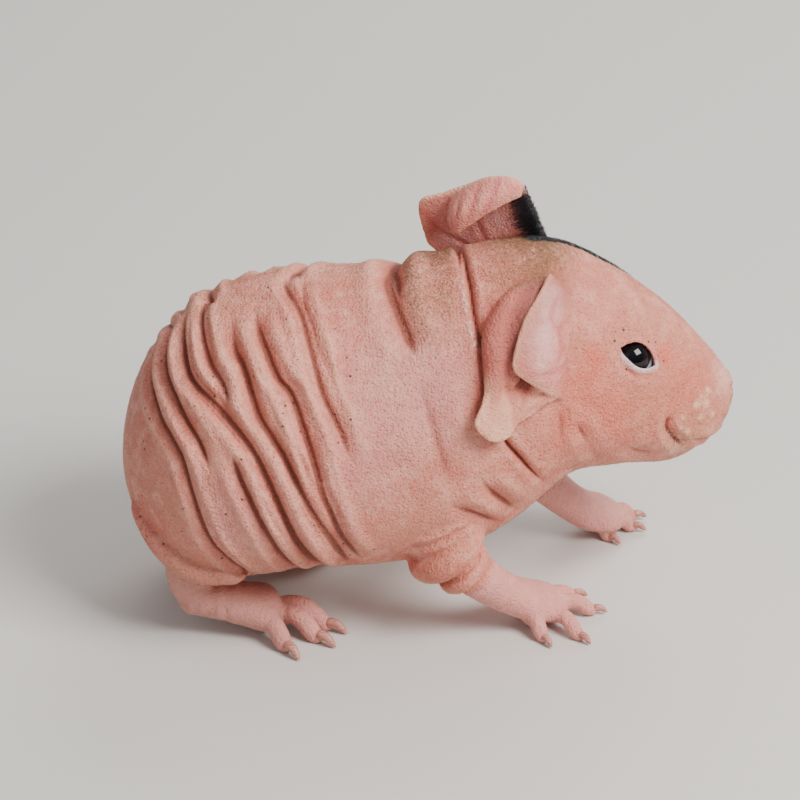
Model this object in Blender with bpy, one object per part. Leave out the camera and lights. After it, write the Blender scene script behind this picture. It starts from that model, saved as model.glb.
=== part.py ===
"""A skinny pig pup standing on four feet, life size, as one still figure.

Frame: +X towards the nose, +Y to the animal's left, +Z up, metres, with the floor at z = 0.
The trunk, from rump to nose, is one lofted form with its folds pressed in, parted by thin cuts into
torso, neck and head. Each limb is a form of its own, trimmed to the trunk and cut at the wrist or
ankle. Ears are thin bent sheets, and the eyes and claws sit in sockets.
"""

import math

import bmesh
import bpy
import numpy as np
from mathutils import Matrix, Vector

MM = 0.001
GAP = 0.3 * MM
BODY_VOXEL = 0.55 * MM
LIMB_VOXEL = 0.36 * MM

# Triangles that each kind of form keeps
TRUNK_TRIANGLES = 7800
LIMB_TRIANGLES = 540
EAR_GRID = (6, 8)
RING_SIDES = 12

# Where the trunk parts into torso, neck and head: a place on each cut and the way it faces
NECK_BACK = ((-7.0 * MM, 0, 76 * MM), (56, 0, 22))
NECK_FRONT = ((7.6 * MM, 0, 78 * MM), (51, 0, 17.5))

# The trunk from rump to nose, one row for each place along it, in millimetres:
# x, sideways shift, height of the middle, half width, half height
TRUNK = np.array(
    [
        (-62.5, 0.0, 34.0, 0.0, 0.0),
        (-56.8, 0.0, 37.2, 18.5, 18.7),
        (-46.5, 0.0, 39.5, 28.0, 28.4),
        (-36.3, 0.0, 41.4, 31.0, 30.6),
        (-26.0, 0.0, 43.4, 31.5, 30.6),
        (-9.6, 0.0, 44.1, 28.5, 31.3),
        (4.7, 0.0, 46.8, 25.0, 32.1),
        (17.0, 1.2, 51.2, 21.5, 30.0),
        (27.3, 2.8, 55.0, 18.5, 24.8),
        (37.5, 4.3, 52.8, 16.8, 21.3),
        (49.8, 6.1, 47.7, 13.0, 16.5),
        (56.0, 7.1, 45.7, 10.0, 11.3),
        (60.2, 7.7, 44.8, 6.9, 6.8),
        (62.9, 8.0, 45.0, 0.0, 0.0),
    ]
)
TRUNK_RINGS = 150
TRUNK_SIDES = 112

# Limb forms, rows as in the trunk's table but through (x, y, z), with the two half thicknesses
UPPER_ARM_RIGHT = (
    (-5.0, -9.0, 46.0, 0.0, 0.0),
    (-1.0, -12.6, 36.0, 10.5, 13.0),
    (3.0, -15.6, 25.4, 8.0, 9.6),
    (5.4, -16.9, 19.6, 5.4, 5.8),
    (7.2, -17.4, 16.0, 0.0, 0.0),
)
UPPER_ARM_LEFT = (
    (2.0, 7.0, 47.0, 0.0, 0.0),
    (8.0, 10.0, 38.0, 10.0, 12.0),
    (14.0, 13.0, 29.0, 8.0, 9.6),
    (18.6, 15.2, 22.6, 6.0, 6.4),
    (21.6, 16.4, 18.6, 0.0, 0.0),
)
FOREARM_RIGHT = (
    (2.5, -18.6, 24.0, 0.0, 0.0),
    (7.5, -17.6, 17.5, 4.8, 4.7),
    (12.5, -15.8, 12.4, 4.4, 4.4),
    (17.0, -13.4, 8.3, 4.5, 3.9),
    (20.8, -11.2, 5.7, 5.6, 3.6),
    (24.4, -9.6, 4.3, 6.2, 3.2),
    (27.4, -8.8, 3.3, 4.6, 2.6),
    (29.6, -8.4, 2.9, 0.0, 0.0),
)
FOREARM_LEFT = (
    (14.5, 14.0, 28.0, 0.0, 0.0),
    (21.0, 16.8, 21.5, 4.7, 4.6),
    (26.0, 19.6, 15.6, 4.4, 4.3),
    (30.6, 22.6, 10.0, 4.4, 3.9),
    (34.4, 25.0, 6.4, 5.6, 3.6),
    (38.0, 27.0, 4.6, 6.2, 3.2),
    (40.8, 28.2, 3.4, 4.6, 2.6),
    (43.0, 29.0, 3.0, 0.0, 0.0),
)
SHANK_RIGHT = (
    (-43.0, -16.6, 30.0, 0.0, 0.0),
    (-46.5, -16.6, 22.5, 5.4, 6.8),
    (-48.4, -15.8, 15.8, 4.9, 5.1),
    (-48.2, -15.2, 10.8, 4.2, 4.2),
    (-47.6, -15.0, 7.4, 0.0, 0.0),
)
SOLE_RIGHT = (
    (-51.8, -15.0, 10.4, 0.0, 0.0),
    (-48.4, -14.8, 9.2, 4.3, 4.0),
    (-43.0, -14.4, 7.8, 4.8, 3.9),
    (-37.5, -13.8, 6.3, 6.0, 4.0),
    (-33.0, -13.0, 4.8, 7.0, 4.0),
    (-29.2, -12.4, 3.6, 0.0, 0.0),
)

# Rolls of loose skin over the tops of the forearms: the middle of a ring, the way it faces, its
# radius and its thickness, in millimetres
SLEEVES = (
    ((7.4, -17.4, 17.0), (0.66, 0.15, -0.73), 4.5, 1.8),
    ((3.8, -16.9, 21.4), (0.56, 0.10, -0.80), 6.3, 2.6),
    ((20.4, 16.5, 22.4), (0.62, 0.36, -0.70), 4.6, 1.9),
)

# The roll of skin that hangs over each thigh: places on the trunk's side (millimetres along, degrees
# down from the spine, millimetres off it), with a thickness
SKIRT = (
    (-60.2, 112, 0.0, 0.0),
    (-57.5, 123, 0.4, 1.6),
    (-53.5, 129, 0.9, 2.2),
    (-48.5, 133, 1.2, 2.4),
    (-43.5, 136, 0.9, 2.2),
    (-39.0, 138, 0.4, 1.6),
    (-35.0, 140, 0.0, 0.0),
)

# Toes of each foot: where the root is (x, y), which way it points in degrees from +X, its length to
# the end of the claw, and how high its end is held off the floor
TOES = {
    "fore_right": (
        (21.2, -14.0, -60.0, 8.8, 0.0),
        (26.4, -12.6, -47.0, 10.6, 0.0),
        (27.8, -8.4, 3.0, 9.9, 0.2),
        (25.4, -4.9, 8.0, 8.4, 1.6),
    ),
    "fore_left": (
        (36.6, 25.4, -44.0, 7.4, 0.0),
        (40.4, 27.6, -12.0, 7.6, 0.2),
        (40.6, 29.6, 15.0, 7.8, 0.4),
        (37.6, 31.2, 34.0, 6.8, 0.0),
    ),
    "hind_right": (
        (-33.6, -16.0, -54.0, 13.0, 0.0),
        (-29.6, -13.6, -36.0, 13.6, 0.0),
        (-29.0, -10.2, -25.0, 14.0, 0.0),
    ),
}
TOE_RADIUS = {"fore": 1.66 * MM, "hind": 2.05 * MM}
CLAW_LENGTH = {"fore": 3.4 * MM, "hind": 5.4 * MM}
CLAW_RADIUS = {"fore": 0.80 * MM, "hind": 1.10 * MM}
PAD_PRESS = 0.35 * MM
LEFT_HIND_SHIFT = Vector((0.5, 2.6, 0.0)) * MM

# Where each foot parts from its leg: a place in millimetres and the way the cut faces
WRIST_RIGHT = ((16.4, -13.8, 8.9), (0.72, 0.35, -0.60))
WRIST_LEFT = ((30.0, 22.2, 10.7), (0.68, 0.40, -0.60))
ANKLE_RIGHT = ((-46.5, -14.8, 8.8), (1, 0, -0.15))

# Creases pressed into the trunk, each through a few places on it (millimetres along the body, degrees
# down from the spine), then depth and half width in millimetres. The net of faces is coarse, so all
# are pressed wider by a share. The banks of a crease rise by a share of its depth, so that close
# creases leave round rolls between them
BANK = 0.4
WIDENING = 1.4
BODY_FOLDS = (
    (
        (
            *((-55.6, 0), (-55.9, 28), (-53.9, 52), (-51.5, 64), (-49.1, 74), (-47.2, 88)),
            *((-45.5, 100), (-43.4, 112), (-40.0, 124), (-36.6, 138), (-33.6, 154)),
        ),
        1.3,
        1.0,
    ),
    (((-51.1, -8), (-52.9, 14), (-52.5, 32), (-50.3, 48), (-48.1, 59), (-45.3, 69), (-42.6, 82)), 1.4, 1.0),
    (
        (
            *((-47.5, -8), (-49.1, 12), (-48.5, 32), (-46.6, 44), (-42.0, 55), (-36.6, 68)),
            *((-33.9, 76), (-31.1, 88), (-28.5, 102), (-26.2, 116), (-24.1, 128), (-22.0, 142), (-20.6, 160)),
        ),
        1.8,
        1.1,
    ),
    (((-43.2, -10), (-45.5, 7), (-45.0, 24), (-43.2, 38), (-40.5, 48), (-38.6, 58)), 1.4, 1.0),
    (
        (
            *((-39.6, 10), (-38.5, 32), (-36.6, 42), (-33.7, 60), (-31.1, 69), (-28.3, 78)),
            *((-25.9, 88), (-23.2, 100), (-20.4, 112), (-18.6, 121), (-16.6, 134), (-15.2, 152)),
        ),
        1.7,
        1.1,
    ),
    (
        (
            *((-35.0, 8), (-33.7, 26), (-32.0, 37), (-29.7, 48), (-26.8, 56), (-23.5, 74)),
            *((-22.0, 84), (-20.7, 94), (-18.9, 104), (-17.0, 116), (-14.6, 127), (-12.0, 140)),
        ),
        1.8,
        1.1,
    ),
    (((-29.4, -6), (-28.0, 8), (-25.3, 22), (-23.5, 36), (-20.7, 56), (-17.0, 71), (-14.4, 86)), 1.2, 1.0),
    (((-24.6, -8), (-24.7, 14), (-23.2, 26), (-21.3, 40), (-18.9, 52)), 0.6, 0.8),
    (((-38.9, 72), (-37.4, 82), (-35.3, 92), (-33.1, 103), (-30.6, 116), (-27.8, 134), (-26.0, 154)), 1.5, 1.0),
)
SHOULDER_FOLDS = (
    (((-6.1, -26), (-7.4, -4), (-8.0, 8), (-6.6, 22), (-4.4, 36), (-1.6, 52)), 1.5, 1.7),
    (((-3.8, 42), (0.5, 72), (2.8, 92), (5.0, 108)), 0.6, 2.0),
    (((7.0, -36), (7.2, 10), (7.6, 24), (8.0, 38), (9.3, 60), (13.5, 90), (20.8, 128)), 1.9, 0.55),
    (((9.0, 104), (13.2, 118), (18.6, 142)), 1.4, 0.9),
    (((4.6, 106), (9.0, 120), (12.6, 130)), 1.2, 0.9),
)
CHEEK_FOLDS = (
    (((22.4, 86), (23.2, 95), (22.8, 108)), 1.1, 0.8),
    (((28.4, 104), (31.1, 120), (33.8, 140)), 1.3, 1.0),
    (((37.0, 118), (41.0, 128), (46.0, 132)), 0.6, 1.2),
    (((47.6, 95), (46.9, 101), (46.9, 106), (47.8, 112), (49.2, 118), (50.6, 126)), 0.85, 0.75),
)

# The head's own frame: its pivot, and how far it is turned to the animal's left
HEAD_PIVOT = Vector((27.3, 2.8, 0.0)) * MM
HEAD_YAW = math.radians(8.4)

# Eyes, in the head's frame: forward of the pivot, off the midline, height
EYE_PLACE = (12.0, 10.2, 59.1)
EYE_RADIUS = 4.9 * MM
EYE_AIM = Vector((0.16, 0.84, 0.46))
LID_THICKNESS = 0.6 * MM
LID_BLEND = 2.0 * MM
EYE_LENGTH = 8.8 * MM
EYE_RISE = 2.7 * MM
EYE_FALL = 2.0 * MM
EYE_SLANT = math.radians(30.0)

# How pointed the corners are, and how far the highest point lies back and the lowest point forward
EYE_POINT = 2.1
EYE_SKEW = (0.15, 0.30)

# The right ear, as nets of places on the head: millimetres along the body, degrees down from the
# spine, and millimetres off the skin. Rows run down the ear. The flap's columns run from the head
# back to its free edge, and the lobe's from its rear edge forward. The roll behind the cup has a
# thickness as its last number
EAR_THICKNESS = 1.0 * MM
EAR_ROOT_RADIUS = 1.7
RIGHT_FLAP = (
    ((25.8, 34, -0.8), (24.6, 32, 0.2), (23.4, 30, 1.0), (22.2, 28, 1.6)),
    ((27.6, 42, -0.9), (25.0, 42, 0.5), (22.0, 41, 2.2), (19.6, 38, 3.0)),
    ((27.6, 55, -0.9), (24.6, 54, 0.6), (20.2, 52, 3.2), (16.2, 48, 4.2)),
    ((27.4, 67, -0.9), (24.2, 65, 0.7), (19.2, 61, 3.8), (13.8, 58, 4.8)),
    ((26.4, 78, -0.9), (23.6, 75, 0.7), (18.8, 70, 3.6), (13.4, 64, 4.6)),
    ((23.8, 88, -0.6), (22.2, 84, 0.9), (18.6, 76, 2.8), (14.8, 68, 4.0)),
)
RIGHT_LOBE = (
    ((10.8, 60, -0.6), (13.8, 64, -0.8), (17.2, 69, -0.8), (20.6, 76, -0.8), (23.4, 84, -0.8)),
    ((9.4, 66, 1.6), (12.2, 70, 0.8), (15.6, 74, 0.4), (19.2, 78, 0.6), (22.0, 84, 0.6)),
    ((8.0, 72, 3.2), (10.6, 76, 2.6), (13.8, 78, 1.6), (17.4, 80, 1.2), (20.8, 84, 0.8)),
    ((6.6, 77, 3.8), (8.8, 80, 3.6), (11.8, 82, 2.8), (14.8, 82, 1.8), (18.6, 84, 1.0)),
    ((7.3, 81, 3.7), (9.4, 86, 3.3), (12.2, 88, 2.6), (14.4, 85.5, 1.8), (18.0, 85, 1.0)),
)
RIGHT_ROLL = (
    (23.4, 29, -0.5, 0.0),
    (20.0, 33, -0.5, 1.6),
    (16.2, 37, -0.3, 2.3),
    (13.2, 44, 0.1, 2.7),
    (11.4, 51, 0.5, 2.9),
    (11.0, 59, 0.9, 2.6),
    (10.6, 67, 1.5, 2.0),
    (9.9, 74, 2.2, 1.4),
    (9.0, 78, 2.4, 0.0),
)

# The dome of the right ear's cup, between the roll and the flap: millimetres along, degrees, lift,
# radius
RIGHT_DOME = (
    (22.0, 36, -0.2, 0.0),
    (18.6, 42, 0.0, 2.1),
    (16.0, 50, 0.3, 2.9),
    (14.6, 58, 0.5, 2.9),
    (13.9, 66, 0.8, 2.2),
    (13.2, 73, 0.8, 0.0),
)
RIGHT_EAR_ROOT = (
    (23.4, 34, 0.2),
    (22.4, 46, 0.6),
    (21.2, 56, 0.9),
    (20.2, 67, 0.9),
    (18.8, 74, 0.6),
    (15.6, 75, 0.2),
)

# The left ear, thrown up and back over the neck: nets of x, y and z in millimetres. The leaf's rows
# run from the front edge down to the lobe, and its columns from the root out to the rim. The fold
# hangs from the top rim over the inner side, its columns running down to its free edge
LEFT_LEAF = (
    ((25.0, 8.6, 76.3), (23.0, 9.6, 81.5), (21.0, 10.3, 86.5), (19.0, 10.8, 90.4)),
    ((20.5, 12.6, 73.5), (17.5, 12.8, 79.5), (14.8, 12.6, 85.0), (12.9, 12.6, 90.6)),
    ((17.0, 16.0, 69.5), (11.5, 15.4, 76.0), (7.0, 14.6, 81.5), (3.4, 13.8, 86.8)),
    ((15.4, 18.6, 65.0), (8.5, 18.0, 71.5), (3.0, 16.8, 77.0), (-1.8, 15.0, 83.8)),
    ((15.0, 20.6, 61.0), (9.0, 21.0, 64.0), (4.0, 20.0, 68.5), (-0.2, 18.2, 73.6)),
)
LEFT_FOLD = (
    ((18.8, 11.2, 90.2), (19.0, 10.0, 90.0), (19.1, 9.2, 88.9), (18.9, 9.2, 87.9)),
    ((15.8, 12.3, 90.6), (15.8, 10.0, 90.9), (15.5, 8.1, 88.9), (15.0, 8.2, 86.4)),
    ((12.0, 12.9, 90.2), (11.6, 10.0, 90.0), (10.8, 7.4, 87.0), (10.0, 7.8, 83.3)),
    ((8.0, 13.6, 88.0), (7.4, 10.6, 87.8), (6.4, 7.7, 84.6), (6.8, 7.8, 80.7)),
    ((5.8, 14.2, 85.6), (4.6, 12.0, 84.9), (4.3, 9.6, 82.3), (5.4, 8.8, 79.6)),
)
LEFT_EAR_ROOT = (
    (24.8, 8.8, 76.6),
    (20.5, 12.6, 73.3),
    (17.0, 16.0, 69.3),
    (15.3, 18.8, 64.8),
    (15.0, 20.6, 60.8),
)


def smooth_through(xs, ys, x):
    """A smooth curve through the points (xs, ys), read at x, with the slope of its neighbours at each."""
    slopes = np.gradient(ys, xs)
    i = np.clip(np.searchsorted(xs, x) - 1, 0, len(xs) - 2)
    span = xs[i + 1] - xs[i]
    t = np.clip((x - xs[i]) / span, 0.0, 1.0)
    return (
        (2 * t**3 - 3 * t**2 + 1) * ys[i]
        + (t**3 - 2 * t**2 + t) * span * slopes[i]
        + (3 * t**2 - 2 * t**3) * ys[i + 1]
        + (t**3 - t**2) * span * slopes[i + 1]
    )


def ease(t):
    t = np.clip(t, 0.0, 1.0)
    return t * t * (3 - 2 * t)


def places_of(mesh):
    places = np.empty(len(mesh.vertices) * 3, np.float32)
    mesh.vertices.foreach_get("co", places)
    return places.reshape(-1, 3).astype(float)


def normals_of(mesh):
    normals = np.empty(len(mesh.vertices) * 3, np.float32)
    mesh.vertices.foreach_get("normal", normals)
    return normals.reshape(-1, 3).astype(float)


def set_places(mesh, places):
    mesh.vertices.foreach_set("co", places.astype(np.float32).ravel())
    mesh.update()


def new_object(name, bm):
    mesh = bpy.data.meshes.new(name)
    bmesh.ops.recalc_face_normals(bm, faces=bm.faces)
    bm.to_mesh(mesh)
    bm.free()
    obj = bpy.data.objects.new(name, mesh)
    bpy.context.collection.objects.link(obj)
    return obj


def face_outward(obj):
    bm = bmesh.new()
    bm.from_mesh(obj.data)
    bmesh.ops.recalc_face_normals(bm, faces=bm.faces)
    bm.to_mesh(obj.data)
    bm.free()
    return obj


def copy_of(obj, name):
    twin = bpy.data.objects.new(name, obj.data.copy())
    bpy.context.collection.objects.link(twin)
    return twin


def apply_modifiers(obj):
    depsgraph = bpy.context.evaluated_depsgraph_get()
    mesh = bpy.data.meshes.new_from_object(obj.evaluated_get(depsgraph))
    obj.modifiers.clear()
    obj.data = mesh


def remove(objects):
    for obj in objects:
        bpy.data.objects.remove(obj)


def fuse(name, pieces):
    """One closed body from closed forms that overlap."""
    group = bpy.data.collections.new(name)
    bpy.context.scene.collection.children.link(group)
    for piece in pieces[1:]:
        group.objects.link(piece)
    body = pieces[0]
    body.name = name
    join = body.modifiers.new("join", "BOOLEAN")
    join.operation = "UNION"
    join.operand_type = "COLLECTION"
    join.collection = group
    join.solver = "EXACT"
    apply_modifiers(body)
    remove(pieces[1:])
    bpy.data.collections.remove(group)
    return body


def even_skin(obj, voxel, rounds):
    """An even net of faces over the form, with its joins softened."""
    remesh = obj.modifiers.new("even", "REMESH")
    remesh.mode = "VOXEL"
    remesh.voxel_size = voxel
    soften = obj.modifiers.new("soften", "SMOOTH")
    soften.factor = 0.5
    soften.iterations = rounds
    apply_modifiers(obj)


def thin_out(obj, triangles):
    count = sum(len(face.vertices) - 2 for face in obj.data.polygons)
    thin = obj.modifiers.new("thin", "DECIMATE")
    thin.ratio = min(1.0, triangles / count)
    apply_modifiers(obj)


def largest_body(obj):
    """Keeps only the largest closed surface of a mesh."""
    bm = bmesh.new()
    bm.from_mesh(obj.data)
    left = set(bm.faces)
    shells = []
    while left:
        front = [left.pop()]
        shell = set(front)
        while front:
            face = front.pop()
            for edge in face.edges:
                for other in edge.link_faces:
                    if other in left:
                        left.remove(other)
                        shell.add(other)
                        front.append(other)
        shells.append(shell)
    largest = max(shells, key=lambda shell: sum(face.calc_area() for face in shell))
    scraps = [face for face in bm.faces if face not in largest]
    bmesh.ops.delete(bm, geom=scraps, context="FACES")
    bmesh.ops.dissolve_degenerate(bm, dist=0.00001, edges=bm.edges)
    bmesh.ops.triangulate(bm, faces=bm.faces)
    bm.to_mesh(obj.data)
    bm.free()


def carve(obj, tools):
    for tool in tools:
        cut = obj.modifiers.new("cut", "BOOLEAN")
        cut.operation = "DIFFERENCE"
        cut.object = tool
        cut.solver = "EXACT"
    apply_modifiers(obj)
    largest_body(obj)


def grown(obj, name, distance):
    """A copy whose surface lies further out by the distance."""
    twin = copy_of(obj, name)
    set_places(twin.data, places_of(twin.data) + normals_of(twin.data) * distance)
    return twin


def cut_off(obj, point, normal):
    """Takes away what lies on the normal's side of a plane, and closes the cut."""
    bm = bmesh.new()
    bm.from_mesh(obj.data)
    geometry = bm.verts[:] + bm.edges[:] + bm.faces[:]
    bmesh.ops.bisect_plane(
        bm, geom=geometry, dist=0.000001, plane_co=point, plane_no=normal, clear_outer=True
    )
    rim = [edge for edge in bm.edges if edge.is_boundary]
    bmesh.ops.holes_fill(bm, edges=rim, sides=0)
    bmesh.ops.triangulate(bm, faces=bm.faces)
    bm.to_mesh(obj.data)
    bm.free()


def part_at(obj, first, second, point, normal):
    """Parts an object in two at a plane, with the gap between them."""
    point = Vector(point)
    normal = Vector(normal).normalized()
    front = copy_of(obj, second)
    obj.name = first
    cut_off(obj, point - normal * GAP / 2, normal)
    cut_off(front, point + normal * GAP / 2, -normal)
    largest_body(obj)
    largest_body(front)
    return obj, front


def unit_ball(rings, sides):
    bm = bmesh.new()
    bmesh.ops.create_uvsphere(bm, u_segments=sides, v_segments=rings, radius=1.0)
    return bm


def ball_angles(mesh):
    ball = places_of(mesh)
    return np.arccos(np.clip(-ball[:, 2], -1, 1)), np.arctan2(ball[:, 0], ball[:, 1])


def loft(name, rows, rings=24, sides=20):
    """A round-ended form through rows of x, y, z and two half thicknesses, in millimetres."""
    rows = np.array(rows) * MM
    obj = new_object(name, unit_ball(rings, sides))
    polar, around = ball_angles(obj.data)
    steps = np.linalg.norm(np.diff(rows[:, :3], axis=0), axis=1)
    length = np.concatenate(([0.0], np.cumsum(steps)))
    at = np.arccos(1 - 2 * length / length[-1])
    grid = np.linspace(0.0, math.pi, 200)
    centre = np.column_stack([smooth_through(at, rows[:, k], grid) for k in range(3)])
    tangent = np.gradient(centre, axis=0)
    tangent[0] = tangent[1]
    tangent[-1] = tangent[-2]
    tangent /= np.linalg.norm(tangent, axis=1)[:, None]
    across = np.array((0.0, 1.0, 0.0)) - tangent[:, 1:2] * tangent
    across /= np.linalg.norm(across, axis=1)[:, None]
    over = np.cross(tangent, across)

    def read(table):
        return np.column_stack([np.interp(polar, grid, table[:, k]) for k in range(3)])

    wide = np.clip(smooth_through(at, rows[:, 3], polar), 0.0, None)
    deep = np.clip(smooth_through(at, rows[:, 4], polar), 0.0, None)
    places = read(centre)
    places += read(across) * (wide * np.cos(around))[:, None]
    places += read(over) * (deep * np.sin(around))[:, None]
    set_places(obj.data, places)
    return face_outward(obj)


def trunk_at(polar):
    """Middle line, half width, half height and turn of the trunk at an angle between its two poles."""
    x = TRUNK[:, 0] * MM
    at = np.arccos(1 - 2 * (x - x[0]) / (x[-1] - x[0]))
    grid = np.linspace(0.0, math.pi, 400)
    along = x[0] + (x[-1] - x[0]) * (1 - np.cos(grid)) / 2
    side = smooth_through(at, TRUNK[:, 1] * MM, grid)
    turn = np.interp(polar, grid, np.arctan(np.gradient(side, along + 1e-9 * grid)))
    middle, width, height = (smooth_through(at, TRUNK[:, k] * MM, polar) for k in (2, 3, 4))
    return np.interp(polar, grid, along), np.interp(polar, grid, side), middle, width, height, turn


def trunk_places(polar, down):
    """Places on the trunk, down in radians from the spine, positive towards the left flank."""
    along, side, middle, width, height, turn = trunk_at(polar)
    sag = 1 - 0.10 * np.cos(down)
    out = width * np.sin(down) * sag
    return np.column_stack(
        (along - out * np.sin(turn), side + out * np.cos(turn), middle + height * np.cos(down))
    )


def on_trunk(x, degrees, side):
    """The place on the trunk x millimetres along it and so many degrees down one side."""
    x0 = TRUNK[0, 0]
    x1 = TRUNK[-1, 0]
    polar = np.arccos(np.clip(1 - 2 * (np.asarray(x) - x0) / (x1 - x0), -1, 1))
    return trunk_places(polar, side * np.radians(degrees))


def trunk_form():
    obj = new_object("trunk", unit_ball(TRUNK_RINGS, TRUNK_SIDES))
    polar, around = ball_angles(obj.data)
    set_places(obj.data, trunk_places(polar, around))
    return face_outward(obj)


def off_trunk(x, degrees, lift, side):
    """The place so far off the trunk's surface, in millimetres, along its outward direction."""
    step = 0.2
    here = on_trunk(x, degrees, side)
    ahead = on_trunk(np.asarray(x) + step, degrees, side) - here
    down = on_trunk(x, np.asarray(degrees) + step, side) - here
    out = np.cross(ahead, down) * side
    out /= np.linalg.norm(out, axis=1)[:, None]
    return here + out * np.asarray(lift)[:, None] * MM


def head_place(forward, left, height):
    """A place given in the head's own frame, in millimetres."""
    c = math.cos(HEAD_YAW)
    s = math.sin(HEAD_YAW)
    return HEAD_PIVOT + Vector((forward * c - left * s, forward * s + left * c, height)) * MM


def head_direction(direction):
    return Matrix.Rotation(HEAD_YAW, 3, "Z") @ Vector(direction)


def along_folds(folds, side, shift):
    """Points of each crease on one side, with its depth fading out at both ends."""
    for row, (stops, depth, half_width) in enumerate(folds):
        stops = np.array(stops, float)
        t = np.linspace(0.0, 1.0, 60)
        knots = np.linspace(0.0, 1.0, len(stops))
        x = smooth_through(knots, stops[:, 0], t)
        degrees = smooth_through(knots, stops[:, 1], t)
        x = x + shift * math.sin(2.3 * row + 0.7)
        fade = ease(t / 0.16) * ease((1 - t) / 0.16)
        yield on_trunk(x, degrees, side), depth * MM * fade, half_width * WIDENING * MM


def crease(places, points, depth, half_width):
    """How deep a crease along the points presses: sharp in the valley, raised at its banks."""
    reach = 5 * half_width
    low = points.min(axis=0) - reach
    high = points.max(axis=0) + reach
    near = np.flatnonzero(np.all((places > low) & (places < high), axis=1))
    nearest = np.linalg.norm(places[near, None, :] - points[None, :, :], axis=2).argmin(axis=1)
    tangent = np.gradient(points, axis=0)
    step = np.linalg.norm(tangent, axis=1)
    tangent /= np.maximum(step, 1e-9)[:, None]
    away = places[near] - points[nearest]
    slip = np.einsum("ij,ij->i", away, tangent[nearest])
    slip = np.clip(slip, -0.6 * step[nearest], 0.6 * step[nearest])
    distance = np.linalg.norm(away - slip[:, None] * tangent[nearest], axis=1) / half_width
    level = depth[nearest] + (np.gradient(depth) / step)[nearest] * slip
    pressed = np.zeros(len(places))
    valley = np.exp(-(distance**1.25))
    banks = np.exp(-(((distance - 2.2) / 1.1) ** 2))
    pressed[near] = level * (valley - BANK * banks)
    return pressed


def bump(places, centre, radius, height):
    distance = np.linalg.norm(places - np.array(centre), axis=1) / radius
    return height * np.exp(-(distance**2))


def press_folds(obj):
    places = places_of(obj.data)
    normals = normals_of(obj.data)
    pressed = np.zeros(len(places))
    for side in (-1, 1):
        shift = 0.0 if side < 0 else 1.2
        for folds in (BODY_FOLDS, SHOULDER_FOLDS, CHEEK_FOLDS):
            for points, depth, half_width in along_folds(folds, side, shift):
                pressed += crease(places, points, depth, half_width)
    set_places(obj.data, places - normals * pressed[:, None])


def head_curve(stops):
    """Smooth points through stops given in the head's frame."""
    stops = np.array([head_place(*stop) for stop in stops])
    t = np.linspace(0.0, 1.0, 40)
    knots = np.linspace(0.0, 1.0, len(stops))
    return np.column_stack([smooth_through(knots, stops[:, k], t) for k in range(3)])


def shape_face(obj):
    """Cheeks, brow, the pads of the muzzle, the mouth and the nostrils."""
    places = places_of(obj.data)
    normals = normals_of(obj.data)
    push = np.zeros(len(places))
    for side in (-1, 1):
        push += bump(places, head_place(3.0, side * 16.0, 44.0), 9.0 * MM, 1.5 * MM)
        push += bump(places, head_place(13.0, side * 11.5, 66.0), 5.0 * MM, 0.9 * MM)
        push += bump(places, head_place(27.6, side * 8.8, 41.6), 3.0 * MM, 0.9 * MM)
        push += bump(places, head_place(30.0, side * 6.5, 41.5), 6.0 * MM, 0.2 * MM)
        push -= bump(places, head_place(21.0, side * 12.5, 50.0), 5.0 * MM, 0.7 * MM)
        mouth = head_curve(((33.5, 0.0, 38.6), (30.6, side * 4.6, 38.0), (24.6, side * 9.4, 40.4)))
        push -= crease(places, mouth, np.full(40, 1.1 * MM), 0.9 * MM)
        nostril = head_curve(
            ((35.7, side * 1.3, 45.4), (35.4, side * 2.3, 46.4), (34.6, side * 3.3, 46.7))
        )
        push -= crease(places, nostril, np.full(40, 1.2 * MM), 0.65 * MM)
    lip = head_curve(((35.8, 0.0, 44.2), (35.0, 0.0, 41.5), (33.6, 0.0, 38.8)))
    push -= crease(places, lip, np.full(40, 0.9 * MM), 0.7 * MM)
    set_places(obj.data, places + normals * push[:, None])


def eye_centre(side):
    forward, off, height = EYE_PLACE
    return head_place(forward, side * off, height)


def eye_axes(side):
    """The eye's outward aim, its slanting line from corner to corner, and the way up across it."""
    aim = head_direction((EYE_AIM.x, side * EYE_AIM.y, EYE_AIM.z)).normalized()
    level = head_direction((math.cos(EYE_SLANT), 0.0, -math.sin(EYE_SLANT)))
    length = (level - aim * level.dot(aim)).normalized()
    return aim, length, (aim.cross(length) * -side).normalized()


def wrap_eyes(obj):
    """Draws the skin out over each eyeball, as lids."""
    places = places_of(obj.data)
    for side in (-1, 1):
        centre = np.array(eye_centre(side))
        aim = np.array(eye_axes(side)[0])
        away = places - centre
        distance = np.linalg.norm(away, axis=1)
        outward = away / np.maximum(distance, 1e-9)[:, None]
        facing = ease((outward @ aim - 0.05) / 0.45)
        wanted = EYE_RADIUS + GAP + LID_THICKNESS
        short = np.clip(wanted - distance, 0.0, None) * facing
        near = np.exp(-((np.clip(distance - wanted, 0.0, None) / LID_BLEND) ** 2)) * facing
        places += outward * (short + LID_BLEND * 0.2 * near)[:, None]
    set_places(obj.data, places)


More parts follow.
